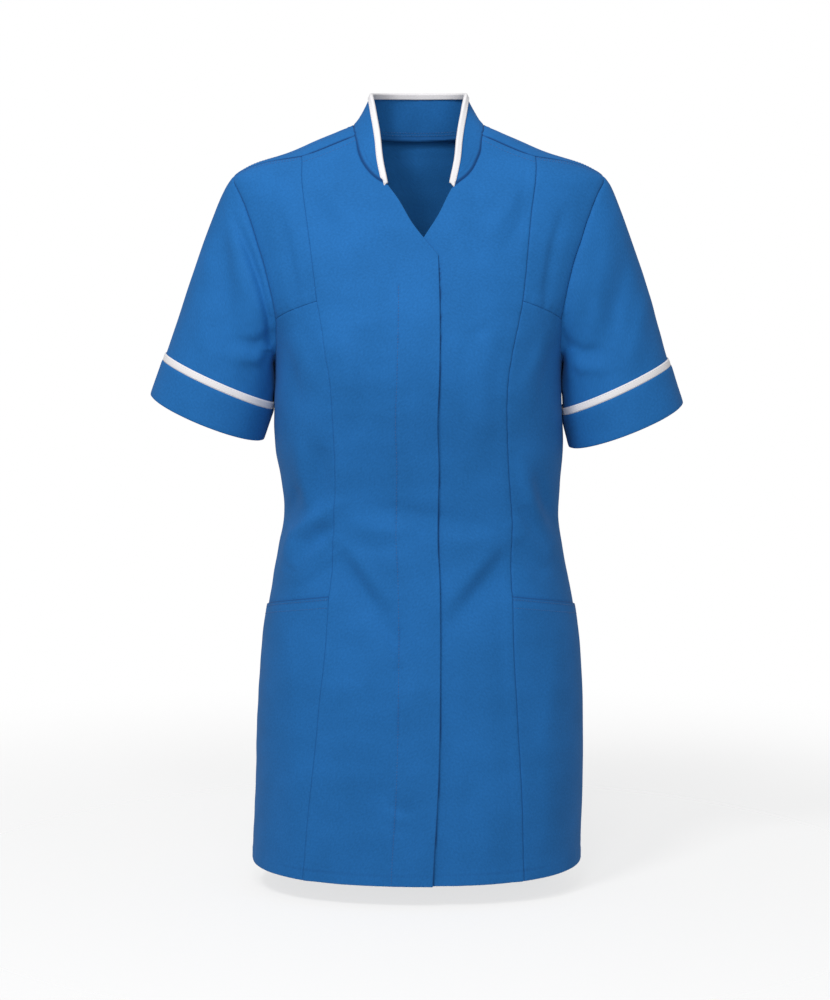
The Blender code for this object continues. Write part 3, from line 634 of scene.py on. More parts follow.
def stitchPiece(name, lines, material):
    # every stitch is a small spindle: two tips and two rings of five points, laid along its line
    starts, ends, outs = [], [], []
    for line, out in lines:
        run = np.concatenate([[0], np.cumsum(np.linalg.norm(np.diff(line, axis=0), axis=1))])
        at = np.arange(1.0, run[-1] - sewing["stitchLength"], sewing["stitchPitch"])
        for target, places, source in ((starts, at, line), (ends, at + sewing["stitchLength"], line),
                                       (outs, at + sewing["stitchLength"] / 2, out)):
            target.append(np.stack([np.interp(places, run, source[:, k]) for k in range(3)], axis=-1))
    start, end, out = np.concatenate(starts), np.concatenate(ends), unit(np.concatenate(outs))
    along = unit(end - start)
    side = unit(np.cross(along, out))
    count = len(start)
    half = sewing["stitchWidth"] / 2
    angle = np.arange(5) / 5 * 2 * np.pi
    points = [start[:, None]]
    for share in (0.25, 0.75):
        middle = start * (1 - share) + end * share + out * 0.12
        points.append(middle[:, None] + half * (np.cos(angle)[None, :, None] * side[:, None]
                                                + 0.6 * np.sin(angle)[None, :, None] * out[:, None]))
    points.append(end[:, None])
    points = (np.concatenate(points, axis=1) * metres).reshape(-1, 3)
    k = np.arange(5)
    after = (k + 1) % 5
    tips = np.concatenate([np.stack([0 * k, 1 + after, 1 + k], -1),
                           np.stack([0 * k + 11, 6 + k, 6 + after], -1)])
    walls = np.concatenate([np.stack([1 + k, 1 + after, 6 + after], -1),
                            np.stack([1 + k, 6 + after, 6 + k], -1)])
    faces = (np.arange(count) * 12)[:, None, None] + np.concatenate([tips, walls])[None]
    mesh = bpy.data.meshes.new(name)
    mesh.from_pydata(points, [], faces.reshape(-1, 3))
    mesh.polygons.foreach_set("use_smooth", np.ones(len(mesh.polygons), bool))
    mesh.materials.append(material)
    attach(addPiece(name, mesh), "root")
    return count


def layOnBody(name, grid, edges, relief, wall, dark, creases=frontCreases, lift=0.0):
    # one cut piece on the body: pulled back from its seams, creased, swayed and given its two faces
    grid = pullIn(grid, edges, sewing["seamGap"] / 2)
    out = unit(bodySlope(grid))
    fade = np.clip(np.abs(grid[..., 1]) / 30, 0, 1)
    height = (creaseHeight(grid, creases) * fade + lift + relief
              + clothWave(grid, 7, sewing["waves"]))
    centre = grid + out * height[..., None]
    centre[..., 0] += swayAt(centre[..., 2])
    wall = np.broadcast_to(wall, height.shape)[..., None]
    outer = centre + out * wall / 2
    inner = centre - out * wall / 2
    return shellPiece(name, outer, inner, blueTwill, dark=np.clip(dark, 0, 1)), outer, inner


def seamLine(distance, strength, width=0.9):
    # painted shade in a seam: strength * exp(-(distance / width)^2)
    return strength * np.exp(-(distance / width)**2)


def hemShade(high):
    # the same along the hem's stitches
    return seamLine(high - sewing["hemStitch"], 0.42, 0.6)


def finishPiece(node):
    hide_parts(node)


# Cut lines: across from the centre and level on the fronts, turn and level at the shoulder, armhole and neck
cut = {
    "flyNeck": ((67.4, -1.4), (65.5, -8), (63.0, -18), (59.2, -28), (53.9, -36.4), (46.7, -44.2), (39.8, -49),
                (32.5, -52.5)),
    "flyVee": ((32.5, -52.5), (21.7, -67.2), (5.1, -94.6), (-11.4, -114.9), (-19.9, -125)),
    "flyEdge": ((-19.9, -125), (-21.2, -164), (-21.6, -218), (-21.2, -251), (-19.4, -298), (-19.2, -344),
                (-17.2, -379), (-17.6, -425), (-19.2, -448), (-19.8, -499), (-20, -576), (-19.5, -648),
                (-18.4, -696), (-16.3, -774)),
    "underNeck": ((67.4, -1.4), (66.2, -8), (64.6, -18), (60.6, -28), (56.0, -37.0), (49.8, -44.2),
                  (43.0, -49.5), (35.0, -55.9)),
    "underVee": ((35.0, -55.9), (29.2, -66.5), (23.1, -78.8), (6.7, -104.6), (-20, -144)),
    "underEdge": ((-20, -144), (-21, -200), (-21, -774)),
    "flyPrincess": ((123.7, -23.2), (119.4, -61), (113.3, -103), (108.1, -142), (104.4, -172), (100.5, -193),
                    (95.6, -225), (90.2, -257), (88.4, -291), (88.0, -339), (89.6, -387), (92.4, -445),
                    (94.9, -478), (99.6, -543), (104.5, -589), (108.3, -634), (113.1, -690), (118.4, -774)),
    "underPrincess": ((123.0, -24.2), (121.5, -46), (116.6, -83), (112.6, -120), (108.5, -160), (107.0, -172),
                      (103.0, -193), (97.4, -218), (93.0, -245), (91.2, -272), (91.0, -300), (91.8, -365),
                      (93.5, -398), (94.4, -440), (94.8, -478), (96.1, -536), (99.1, -589), (102.5, -643),
                      (105.8, -690), (111.1, -774)),
    # these are turn round the body in degrees, and level
    "shoulder": ((45.2, -1.4), (56.0, -23.6), (73.0, -31.0), (84.0, -43.0)),
    "frontArmhole": ((90, -240), (80, -235.5), (72.5, -227), (67.0, -210), (61.8, -192), (58.2, -172),
                     (57.2, -145), (59.6, -115), (63.6, -86), (70.0, -63), (84, -43)),
    "backArmhole": ((90, -240), (101, -235), (110, -225), (117, -207), (122, -180), (124.5, -145),
                    (122.5, -110), (116, -78), (104, -56), (84, -43)),
    "backNeck": ((45.2, -1.4), (64, 5.5), (90, 9.3), (114, 6.5), (140, 0.5), (160, -3), (180, -4)),
    "hemFront": -777.0, "hemPrincess": -776.0, "hemSide": -772.5, "bust": -192.0, "bustPrincess": -172.0,
    "underarm": -240.0, "pocketPrincess": -478.0, "pocketSide": -499.0,
}
# Steps down the grids from neck to hem, steps across each panel, and finer rows in each step
steps = {"neck": 6, "vee": 5, "bust": 4, "waist": 11, "pocket": 13, "centre": 6, "side": 3, "lower": 4,
         "backNeck": 5, "backArmhole": 12, "fine": 8, "backFine": 7, "sleeveFine": 6}
fronts = {
    "underlapDepth": 2.0, "underlapFull": 22.0, "underlapNone": 42.0,
    "princessDip": {"right": 0.3, "left": 0.6},     # share of a full seam's groove
    "princessShade": {"right": 0.10, "left": 0.30},  # and how dark its line is
    "placket": 43.0,      # fly stitching, in from the edge
    "placketLift": 0.35,  # the fly is several layers thick
    "stitchTop": -128.0,  # where its stitches begin, below the V
    "facing": 24.0,
    "pocketLift": 1.9, "pocketHem": 18.0, "pocketTopstitch": 3.0, "pocketWall": 1.2,
    "pocketFlush": 1.6,   # the centre front rises this much to meet the pocket
}

# rows of those grids where the V, the bust, the waist and the pocket end, and the front armhole in two parts
veeRow = steps["neck"] + steps["vee"]
underarmRow = veeRow + steps["bust"]
mouthRow = underarmRow + steps["waist"]
hemRow = mouthRow + steps["pocket"]
armholeFine = lineAt(cut["frontArmhole"], np.linspace(0, 1, 401))
bustPlace = int(np.argmin(np.abs(armholeFine[:, 1] - cut["bust"])))
armholeLow, armholeHigh = armholeFine[:bustPlace + 1], armholeFine[bustPlace:]
shoulderCentre, shoulderSide = cut["shoulder"][:2], cut["shoulder"][1:]


def upToShoulder(at, grid, shoulder, shares):
    # the first two steps of a grid bend up to the shoulder seam
    bend = (np.clip(1 - at / 2, 0, 1)**2)[:, None, None]
    return grid + bend * (lineAt(shoulder, shares) - grid[0])[None]


def centreFront(frontEdge, princessSeam, side, mirror):
    # from the shoulder to the hem: the right one is stitched as a fly, the left one laps under it
    isFly = side == "right"
    at = marks(hemRow, steps["fine"])
    shares = marks(steps["centre"], steps["fine"]) / steps["centre"]
    grid = upToShoulder(at, spread(frontEdge(at), princessSeam(at), shares), shoulderCentre, shares)
    points = bodyPoint(grid[..., 0], grid[..., 1])
    across, level = points[..., 0], points[..., 2]
    low, high, start, end = reachOf(points)
    neckEdge = (at <= steps["neck"])[:, None]
    belowVee = ease((fronts["stitchTop"] - level) / 14)
    placket = fronts["placket"]
    relief = (seamRelief(end, 0.3, fronts["princessDip"][side]) + seamRelief(low, 0.12)
              + hemRelief(high, start) + puckers(end, low)
              + np.where(neckEdge, seamRelief(start, 0.0, 0.7), 0)
              + fronts["pocketFlush"] * np.exp(-(end / 11)**2) * ease((-468 - level) / 18))
    # painted shade along the seams, the neck edge and the hem's stitches
    dark = (seamLine(end, fronts["princessShade"][side], 0.8) + seamLine(low, 0.95, 1.2)
            + np.where(neckEdge, seamLine(start, 0.6), 0) + hemShade(high))
    under = 0.0
    if isFly:
        relief = relief + belowVee * (stitchRelief(start, placket, low, 0.12) + 0.25 * np.exp(-(start / 3)**2)
                                      + fronts["placketLift"] * (1 - ease((start - placket + 1) / 2)))
        # painted shade along the fly's stitching and its edge
        dark = dark + belowVee * (seamLine(start - placket, 0.18, 0.6) + seamLine(start, 0.25, 0.6))
    else:
        full, none = fronts["underlapFull"], fronts["underlapNone"]
        under = (-fronts["underlapDepth"] * np.clip((none + across) / (none - full), 0, 1)
                 * np.clip((-60 - level) / 30, 0, 1))
        # painted shadow of the fly's edge, cast on the underlap
        past = acrossAt(cut["flyEdge"], level) - across
        dark = dark + belowVee * ease((past + 6) / 3) * (1 - ease((past - 0.1) / 0.9))
    wall = wallFor(np.maximum(hemTurn(high), (1 - ease((start - fronts["facing"]) / 4)) * (1 - neckEdge)))
    piece, outer, inner = layOnBody(f"centreFront{side.title()}", points * mirror,
                                    ("low", "start", "end"), relief, wall, dark, lift=under)
    sewAcross(outer, inner, high, sewing["hemStitch"])
    if isFly:
        kept = at > veeRow + 0.6
        sewAlong(outer[kept], inner[kept], start[kept], placket, trimEnd=1.0)
    finishPiece(f"centre_front_{side}")


def upperSideFront(princessSeam, side, mirror):
    # between princess seam, armhole and bust seam
    at = marks(veeRow, steps["fine"])
    shares = marks(steps["side"], steps["fine"]) / steps["side"]
    grid = spread(princessSeam(at), lineAt(armholeHigh[::-1], at / veeRow), shares)
    grid = upToShoulder(at, grid, shoulderSide, shares)
    points = bodyPoint(grid[..., 0], grid[..., 1])
    low, high, start, end = reachOf(points)
    relief = (seamRelief(start, 0.0, fronts["princessDip"][side]) + seamRelief(low, 0.12)
              + seamRelief(high, 0.4, 0.5) + seamRelief(end, 0.3) + puckers(start, low)
              + sum(stitchRelief(high, place, start, 0.1) for place in sewing["twinStitch"]))
    # painted shade along the seams and beside the twin stitching
    dark = (seamLine(start, fronts["princessShade"][side] + 0.1, 0.8) + seamLine(low, 0.95, 1.2)
            + seamLine(high, 0.12) + seamLine(end, 0.7) + seamLine(high - 2.4, 0.25, 0.5))
    piece, outer, inner = layOnBody(f"upperSideFront{side.title()}", points * mirror,
                                    ("low", "high", "start", "end"), relief, sewing["wall"], dark)
    for place in sewing["twinStitch"]:
        sewAcross(outer, inner, high, place)
    finishPiece(f"upper_side_front_{side}")


def lowerSideFront(princessSeam, side, mirror):
    # from the bust seam and the lower armhole to the side seam and the hem
    at = marks(hemRow - veeRow, steps["fine"])
    rowStops = np.array([underarmRow, mouthRow, hemRow]) - veeRow
    sideLevels = np.interp(at, rowStops, (cut["underarm"], cut["pocketSide"], cut["hemSide"]))
    armholePart = lineAt(armholeLow[::-1], np.clip(at / steps["bust"], 0, 1))
    sideEdge = np.where((at <= steps["bust"])[:, None], armholePart,
                        np.stack([90 + 0 * sideLevels, sideLevels], axis=-1))
    shares = marks(steps["lower"], steps["fine"]) / steps["lower"]
    grid = spread(princessSeam(at + veeRow), sideEdge, shares)
    points = bodyPoint(grid[..., 0], grid[..., 1])
    low, high, start, end = reachOf(points)
    relief = (seamRelief(start, 0.0, fronts["princessDip"][side]) + seamRelief(end, 0.35)
              + seamRelief(low, 0.0, 0.4) + hemRelief(high, start) + puckers(start, low + 170))
    # painted shade along the seams and the hem's stitches
    dark = (seamLine(start, fronts["princessShade"][side], 0.8) + seamLine(low, 0.1) + seamLine(end, 0.6)
            + hemShade(high))
    piece, _, _ = layOnBody(f"lowerSideFront{side.title()}", points * mirror, ("low", "start", "end"), relief,
                            wallFor(hemTurn(high)), dark)
    finishPiece(f"lower_side_front_{side}")
    return at, grid


def hipPocket(at, grid, side, mirror):
    # on the cut lines of the lower side front, from its mouth to the hem
    rows = marks(hemRow - mouthRow, steps["fine"]) + mouthRow - veeRow
    mouth = smoothThrough(at, grid, rows)
    points = bodyPoint(mouth[..., 0], mouth[..., 1])
    low, high, start, end = reachOf(points)
    topstitch = fronts["pocketTopstitch"]
    relief = (seamRelief(start, 0.0, fronts["princessDip"][side]) + seamRelief(end, 0.3, 0.8)
              + hemRelief(high, start) + stitchRelief(low, topstitch, start, 0.08)
              - 0.3 * np.exp(-(low / 1.3)**2))
    # painted shade along the seams and stitches, and a painted shadow at the pocket's mouth
    dark = (seamLine(start, fronts["princessShade"][side] * 0.6, 0.8) + seamLine(end, 0.6)
            + seamLine(low, 0.7) + seamLine(low - topstitch, 0.2, 0.6) + hemShade(high))
    wall = wallFor(np.maximum(hemTurn(high), 1 - ease((low - fronts["pocketHem"]) / 2)), fronts["pocketWall"])
    piece, outer, inner = layOnBody(f"pocket{side.title()}", points * mirror, ("start", "end"), relief, wall,
                                    dark, lift=fronts["pocketLift"])
    sewAcross(outer, inner, low, topstitch)
    sewAcross(outer, inner, high, sewing["hemStitch"])
    finishPiece(f"pocket_{side}")


def frontHalf(lap, side):
    # the two long edges of one half and its four pieces; the neck line comes back for the collar
    neck, vee, edge, princess = (cut[lap + name] for name in ("Neck", "Vee", "Edge", "Princess"))
    mirror = np.array([-1, 1, 1]) if side == "left" else np.array([1, 1, 1])

    def frontEdge(at):
        neckLine = lineAt(neck, np.clip(at / steps["neck"], 0, 1))
        veeLine = lineAt(vee, np.clip((at - steps["neck"]) / steps["vee"], 0, 1))
        levels = np.interp(at, (veeRow, underarmRow, hemRow), (vee[-1][1], cut["underarm"], cut["hemFront"]))
        edgeLine = np.stack([acrossAt(edge, levels), levels], axis=-1)
        line = np.where((at <= steps["neck"])[:, None], neckLine,
                        np.where((at <= veeRow)[:, None], veeLine, edgeLine))
        return np.stack([turnFor(line[:, 0], line[:, 1]), line[:, 1]], axis=-1)

    def princessSeam(at):
        levels = np.interp(at, (0, veeRow, underarmRow, mouthRow, hemRow),
                           (princess[0][1], cut["bustPrincess"], cut["underarm"], cut["pocketPrincess"],
                            cut["hemPrincess"]))
        return np.stack([turnFor(acrossAt(princess, levels), levels), levels], axis=-1)

    centreFront(frontEdge, princessSeam, side, mirror)
    upperSideFront(princessSeam, side, mirror)
    hipPocket(*lowerSideFront(princessSeam, side, mirror), side, mirror)
    neckLine = frontEdge(np.linspace(0, steps["neck"], 6 * 12 + 1))
    return bodyPoint(neckLine[:, 0], neckLine[:, 1]) * mirror


# Back: a patch between the armholes and the neck, drawn over the shoulder ridge and relaxed on the body
backSizes = {"ridgeColumns": (0, 2, 7, 9, 11), "ridgeShares": (0, 1, 1, 0.45, 0), "ridgePush": (0, 34, 36),
        "rounds": 150, "inside": (0.0, 8.0, -110.0)}


def backPiece():
    mirror = np.array([-1, 1, 1])
    shoulder = np.concatenate([lineAt(shoulderCentre, np.linspace(0, 1, steps["centre"] + 1)),
                               lineAt(shoulderSide, np.linspace(0, 1, steps["side"] + 1))[1:]])
    neck = lineAt(cut["backNeck"], np.linspace(0, 1, steps["backNeck"] + 1))
    armhole = lineAt(cut["backArmhole"], np.linspace(0, 1, steps["backArmhole"] + 1))
    levels = np.concatenate([np.linspace(cut["underarm"], cut["pocketSide"], steps["waist"] + 1),
                             np.linspace(cut["pocketSide"], cut["hemSide"], steps["pocket"] + 1)[1:]])
    topTurns = np.concatenate([shoulder[::-1], neck[1:]])
    topHalf = bodyPoint(topTurns[:, 0], topTurns[:, 1])
    top = np.concatenate([topHalf, (topHalf * mirror)[-2::-1]])
    across = len(top) - 1
    rings = bodyPoint(*np.broadcast_arrays(np.linspace(90, 270, across + 1)[None, :], levels[:, None]))
    sideLine = bodyPoint(armhole[:, 0], armhole[:, 1])
    u = np.linspace(0, 1, across + 1)[None, :, None]
    v = np.linspace(0, 1, steps["backArmhole"] + 1)[:, None, None]
    low = rings[0]
    patch = ((1 - v) * low[None] + v * top[None]
             + (1 - u) * sideLine[:, None] + u * (sideLine * mirror)[:, None]
             - (1 - u) * (1 - v) * low[0] - u * (1 - v) * low[-1] - (1 - u) * v * top[0] - u * v * top[-1])
    fromEdge = np.minimum(np.arange(across + 1), across - np.arange(across + 1))
    lean = np.interp(fromEdge, backSizes["ridgeColumns"], backSizes["ridgeShares"])[None, :, None]
    patch = patch + 4 * v * (1 - v) * lean * np.array(backSizes["ridgePush"])
    middle = np.array(backSizes["inside"])
    rays = patch - middle
    near, far = np.full(patch.shape[:2], 0.6), np.full(patch.shape[:2], 1.7)
    for _ in range(40):
        half = (near + far) / 2
        within = bodyLevel(middle + rays * half[..., None]) < 0
        near, far = np.where(within, half, near), np.where(within, far, half)
    edge = np.minimum(np.minimum(u, 1 - u), np.minimum(v, 1 - v))
    joined = np.concatenate([np.where(edge > 0, middle + rays * near[..., None], patch)[::-1], rings[1:]])
    last = steps["backArmhole"] + 3
    for _ in range(backSizes["rounds"]):
        joined[1:last, 1:-1] = ontoBody((joined[:last - 1, 1:-1] + joined[2:last + 1, 1:-1]
                                         + joined[1:last, :-2] + joined[1:last, 2:]) / 4)
    # finer rows and columns through the relaxed points
    rows = marks(len(joined) - 1, steps["backFine"])
    columns = marks(across, steps["backFine"] - 1)
    grid = smoothThrough(np.arange(len(joined)), joined, rows)
    grid = smoothThrough(np.arange(across + 1), grid.swapaxes(0, 1), columns).swapaxes(0, 1)
    grid = ontoBody(grid)
    low, high, start, end = reachOf(grid)
    # no seam runs down the back; the neck and shoulder edge is the low row
    relief = seamRelief(start, 0.3) + seamRelief(end, 0.3) + seamRelief(low, 0.0) + hemRelief(high, start)
    wall = wallFor(hemTurn(high))
    # painted shade along the side seams, the neck and shoulder edge, and the hem's stitches
    dark = seamLine(start, 0.6) + seamLine(end, 0.6) + seamLine(low, 0.95, 1.2) + hemShade(high)
    piece, outer, inner = layOnBody("backPanel", grid, ("low", "start", "end"), relief, wall, dark,
                                    creases=backCreases)
    sewAcross(outer, inner, high, sewing["hemStitch"])
    finishPiece("back")
    neckPoints = lineAt(cut["backNeck"], np.linspace(0, 1, steps["backNeck"] * 12 + 1))
    return bodyPoint(neckPoints[:, 0], neckPoints[:, 1])


# Stand collar with a slanted front, and white tape folded over its free edge
collar = {
    "edge": ((33.0, -66.0, -50.5), (38.2, -54, -26), (40.4, -42, -6), (42.4, -31.5, 7), (45.0, -21.5, 20),
             (47.3, -13, 31), (49.2, -3, 39.2), (49.4, 10, 41.2), (44.8, 30, 42.2), (28, 48, 42.8),
             (0, 54.5, 42.8)),
    "wall": 1.5, "rootGap": 1.5, "startShare": 0.55, "leg": 4.9, "tapeWall": 0.9, "tapeGap": 0.35,
    "tapeStitch": 1.2, "runOn": (6.0, 4.5, 3.0, 1.5),
    # rows turned down inside the neck: down, up the collar, inward
    "tuck": ((2.6, 0, 1.7), (1.6, 0, 1.6), (0.5, 0, 1.4), (0, 0.5, 0.8)),
}


def gridNormals(grid, wrapped=False):
    # cross product of a grid's two directions
    down = np.gradient(grid, axis=0)
    side = np.roll(grid, -1, axis=1) - np.roll(grid, 1, axis=1) if wrapped else np.gradient(grid, axis=1)
    return unit(np.cross(side, down))


def collarPieces(neckRight, neckLeft, neckBack):
    mirror = np.array([-1, 1, 1])
    halves = []
    for neck, behind, flip in ((neckRight, neckBack, mirror), (neckLeft, neckBack * mirror, np.ones(3))):
        foot = np.concatenate([neck[::-1], behind[1:]])
        gaps = np.linalg.norm(np.diff(foot, axis=0), axis=1)
        shares = np.concatenate([[0], np.cumsum(gaps)]) / gaps.sum()
        halves.append((foot, lineAt(collar["edge"], shares) * flip))
    foot = np.concatenate([halves[0][0], halves[1][0][-2::-1]])
    top = np.concatenate([halves[0][1], halves[1][1][-2::-1]])
    stations = np.linspace(collar["startShare"] * 12, len(foot) - 1 - collar["startShare"] * 12, 231)
    foot = smoothThrough(np.arange(len(foot)), foot, stations)
    top = smoothThrough(np.arange(len(top)), top, stations)
    rise = unit(top - foot)
    # both ends run on a little, down behind the fronts
    for order in (1, -1):
        foot, top, rise = foot[::order], top[::order], rise[::order]
        ahead = unit(top[0] - top[4])
        dive = unit(bodySlope(foot[0]))
        more = np.array(collar["runOn"])[:, None]
        foot = np.concatenate([foot[0] + (ahead - 0.3 * dive) * more, foot])
        top = np.concatenate([top[0] + (ahead - 0.3 * dive) * more, top])
        rise = np.concatenate([np.repeat(rise[:1], 4, axis=0), rise])
        foot, top, rise = foot[::order], top[::order], rise[::order]
    footLine = foot + rise * collar["rootGap"]
    height = np.linalg.norm(top - footLine, axis=-1)
    path = unit(np.gradient(top, axis=0))
    slant = np.linalg.norm(np.cross(rise, path), axis=-1)
    legShare = 1 - np.minimum(collar["leg"] / slant, height * 0.8) / height
    shares = np.concatenate([[0, 0.02, 0.05], np.linspace(0.1, 1, 16)])
    grid = footLine[None] + (top - footLine)[None] * shares[:, None, None]
    # the foot turns down inside the neck, where the seam allowance is
    bodyOut = unit(bodySlope(foot))
    below = unit(np.cross(bodyOut, unit(np.gradient(foot, axis=0))))
    below *= -np.sign(np.sum(below * rise, axis=-1, keepdims=True))
    tucked = np.stack([foot + below * down + rise * up - bodyOut * inward
                       for down, up, inward in collar["tuck"]])
    grid = np.concatenate([tucked, grid])
    shares = np.concatenate([[0, 0, 0, 0], shares])
    normal = gridNormals(grid)
    if normal[12, len(foot) // 2, 1] < 0:
        normal = -normal
    down = shares[:, None] * height[None]
    dip = clothWave(grid, 21, ((0.16, 60.0), (0.08, 26.0)))
    grid = grid + normal * dip[..., None]
    outer = grid + normal * collar["wall"] / 2
    inner = grid - normal * collar["wall"] / 2
    # painted shade along the collar's foot seam and its stitching
    dark = np.clip(seamLine(down, 0.7, 1.3) + seamLine(down - 5.0, 0.2, 0.6), 0, 1)
    piece = shellPiece("standCollar", outer, inner, blueTwill, dark=dark)
    finishPiece("collar")
    for place in sewing["twinStitch"]:
        sewAcross(outer, inner, down, place, inside=True)
    # the tape's section: two flat legs joined over the edge by a half round, carried along the edge
    out = normal[-1]
    legEnd = footLine + (top - footLine) * legShare[:, None]
    beyond = unit(np.cross(path, out))
    beyond *= np.sign(np.sum(beyond * rise, axis=-1, keepdims=True))
    innerHalf = collar["wall"] / 2 + collar["tapeGap"]
    outerHalf = innerHalf + collar["tapeWall"]
    bend = np.linspace(0, np.pi, 9)

    def section(half, lift):
        legs = np.linspace(0, 1, 6)[:-1]
        first = [legEnd * (1 - t) + top * t + out * half for t in legs]
        arch = [top + out * half * np.cos(a) + beyond * (lift * np.sin(a) + 0.2) for a in bend]
        second = [legEnd * (1 - t) + top * t - out * half for t in legs[::-1]]
        return np.stack(first + arch + second, axis=0)

    outerTape = section(outerHalf, 1.25)
    innerTape = section(innerHalf, 0.45)
    outerTape = outerTape + unit(outerTape - innerTape) * clothWave(outerTape, 5, ((0.05, 17.0),))[..., None]
    binding = shellPiece("collarBinding", outerTape, innerTape, whiteTape)
    finishPiece("collar_binding")
    for run in reachOf(outerTape)[:2]:
        sewAcross(outerTape, innerTape, run, collar["tapeStitch"], "white")


# Short sleeves with white tape above a deep cuff: each oval's centre, half sizes, lean of the long axis
# and drop of the front
sleeves = {
    "right": {"tapeTop": (-209.6, 2, -256, 62.8, 58, 24.2, 1.5),
              "end": (-224.2, 0, -296.8, 62.3, 56.5, 22.0, 6.0)},
    "left": {"tapeTop": (207.2, 2, -262.0, 62.3, 58, 25.0, 1.5),
             "end": (220.0, 0, -305.6, 62.8, 56.5, 21.4, 6.0)},
    "topPull": 14.0, "sidePull": 26.0, "underPull": 3.5, "rootGap": 0.9, "room": 0.9, "cuffRoom": 2.1,
    "tapeWidth": 7.6, "tapeStep": 1.45, "tapeWall": 0.9, "cuffStep": 1.5, "cuffWall": 1.9,
    "waves": ((0.38, 110.0), (0.25, 52.0), (0.12, 24.0)), "tapeStitch": (1.1, 6.5),
    "crown": (-0.25, 0.05, 0.12, 0.12, 0.05, -0.25),
    # rows behind the armhole: away from it, inward
    "tuck": ((6.0, 2.7), (3.0, 2.6), (0.8, 2.2), (-0.2, 1.3)),
}


def armholeRing():
    # the right armhole as points from the shoulder by way of the front, and each one's angle round the sleeve
    fine = steps["sleeveFine"]
    high = lineAt(armholeHigh[::-1], np.linspace(0, 1, veeRow * fine + 1))
    low = lineAt(armholeLow[::-1], np.linspace(0, 1, steps["bust"] * fine + 1))
    behind = lineAt(cut["backArmhole"], np.linspace(0, 1, steps["backArmhole"] * fine + 1))
    turns = np.concatenate([high, low[1:], behind[1:-1]])
    ring = bodyPoint(turns[:, 0], turns[:, 1])
    middle = (ring.max(axis=0) + ring.min(axis=0)) / 2
    half = (ring.max(axis=0) - ring.min(axis=0)) / 2
    return ring, np.unwrap(np.arctan2((middle[1] - ring[:, 1]) / half[1], (ring[:, 2] - middle[2]) / half[2]))


def oval(spec, sign, around):
    # a leaning ellipse, from its outer point by way of the front
    across, depth, level, halfLong, halfDeep, leanAngle, drop = spec
    angle = np.radians(leanAngle)
    longAxis = np.array([sign * np.cos(angle), 0, np.sin(angle)])
    deepAxis = np.array([0, -1, -drop / halfDeep])
    return (np.array([across, depth, level]) + halfLong * np.cos(around)[:, None] * longAxis
            + halfDeep * np.sin(around)[:, None] * deepAxis)


def clearOfBody(points, sign, share=1.0):
    # keeps the inner side just off the swayed body: a smooth larger-of-two, with more room at the cuff
    level = points[..., 2]
    room = sleeves["room"] + sleeves["cuffRoom"] * ease((-262 - level) / 18)
    limit = np.where(level < cut["underarm"] + 2,
                     bodySize("halfWidth", level) + sign * swayAt(level) + room, 0)
    reach = sign * points[..., 0]
    kept = 0.5 * (reach + limit + np.sqrt((reach - limit)**2 + 2))
    moved = points.copy()
    moved[..., 0] = sign * np.where(limit > 0, reach + (kept - reach) * share, reach)
    return moved


def sleeveTube(root, topRing, hang, around, sign):
    # cubic Bezier from the armhole, leaving sideways and arriving along the hang of the sleeve
    cosine = np.cos(around)
    up = (1 + cosine) / 2
    start = unit(np.stack([sign * (0.92 + 0 * around), -0.34 * np.sin(around), -0.10 - 0.32 * up], axis=-1))
    side = sleeves["sidePull"]
    pull = side + cosine * np.where(cosine > 0, sleeves["topPull"] - side, side - sleeves["underPull"])
    first = root + start * sleeves["rootGap"]
    second = first + start * pull[:, None]
    third = topRing - hang * np.linalg.norm(topRing - root, axis=-1, keepdims=True) * 0.42
    t = np.concatenate([[0, 0.003, 0.008, 0.016], np.linspace(0.03, 1, 62)])[:, None, None]
    tube = first * (1 - t)**3 + 3 * second * t * (1 - t)**2 + 3 * third * t**2 * (1 - t) + topRing * t**3
    tube = clearOfBody(tube, sign, ease(t[..., 0] / 0.05))
    # the seam allowance turns back inside the armhole
    bodyOut = unit(bodySlope(root))
    behindSeam = unit(np.cross(bodyOut, unit(np.roll(root, -1, axis=0) - np.roll(root, 1, axis=0))))
    behindSeam *= -np.sign(np.sum(behindSeam * (topRing - root), axis=-1, keepdims=True))
    tucked = [root + behindSeam * away - bodyOut * inward for away, inward in sleeves["tuck"]]
    return np.concatenate([np.stack(tucked), tube])


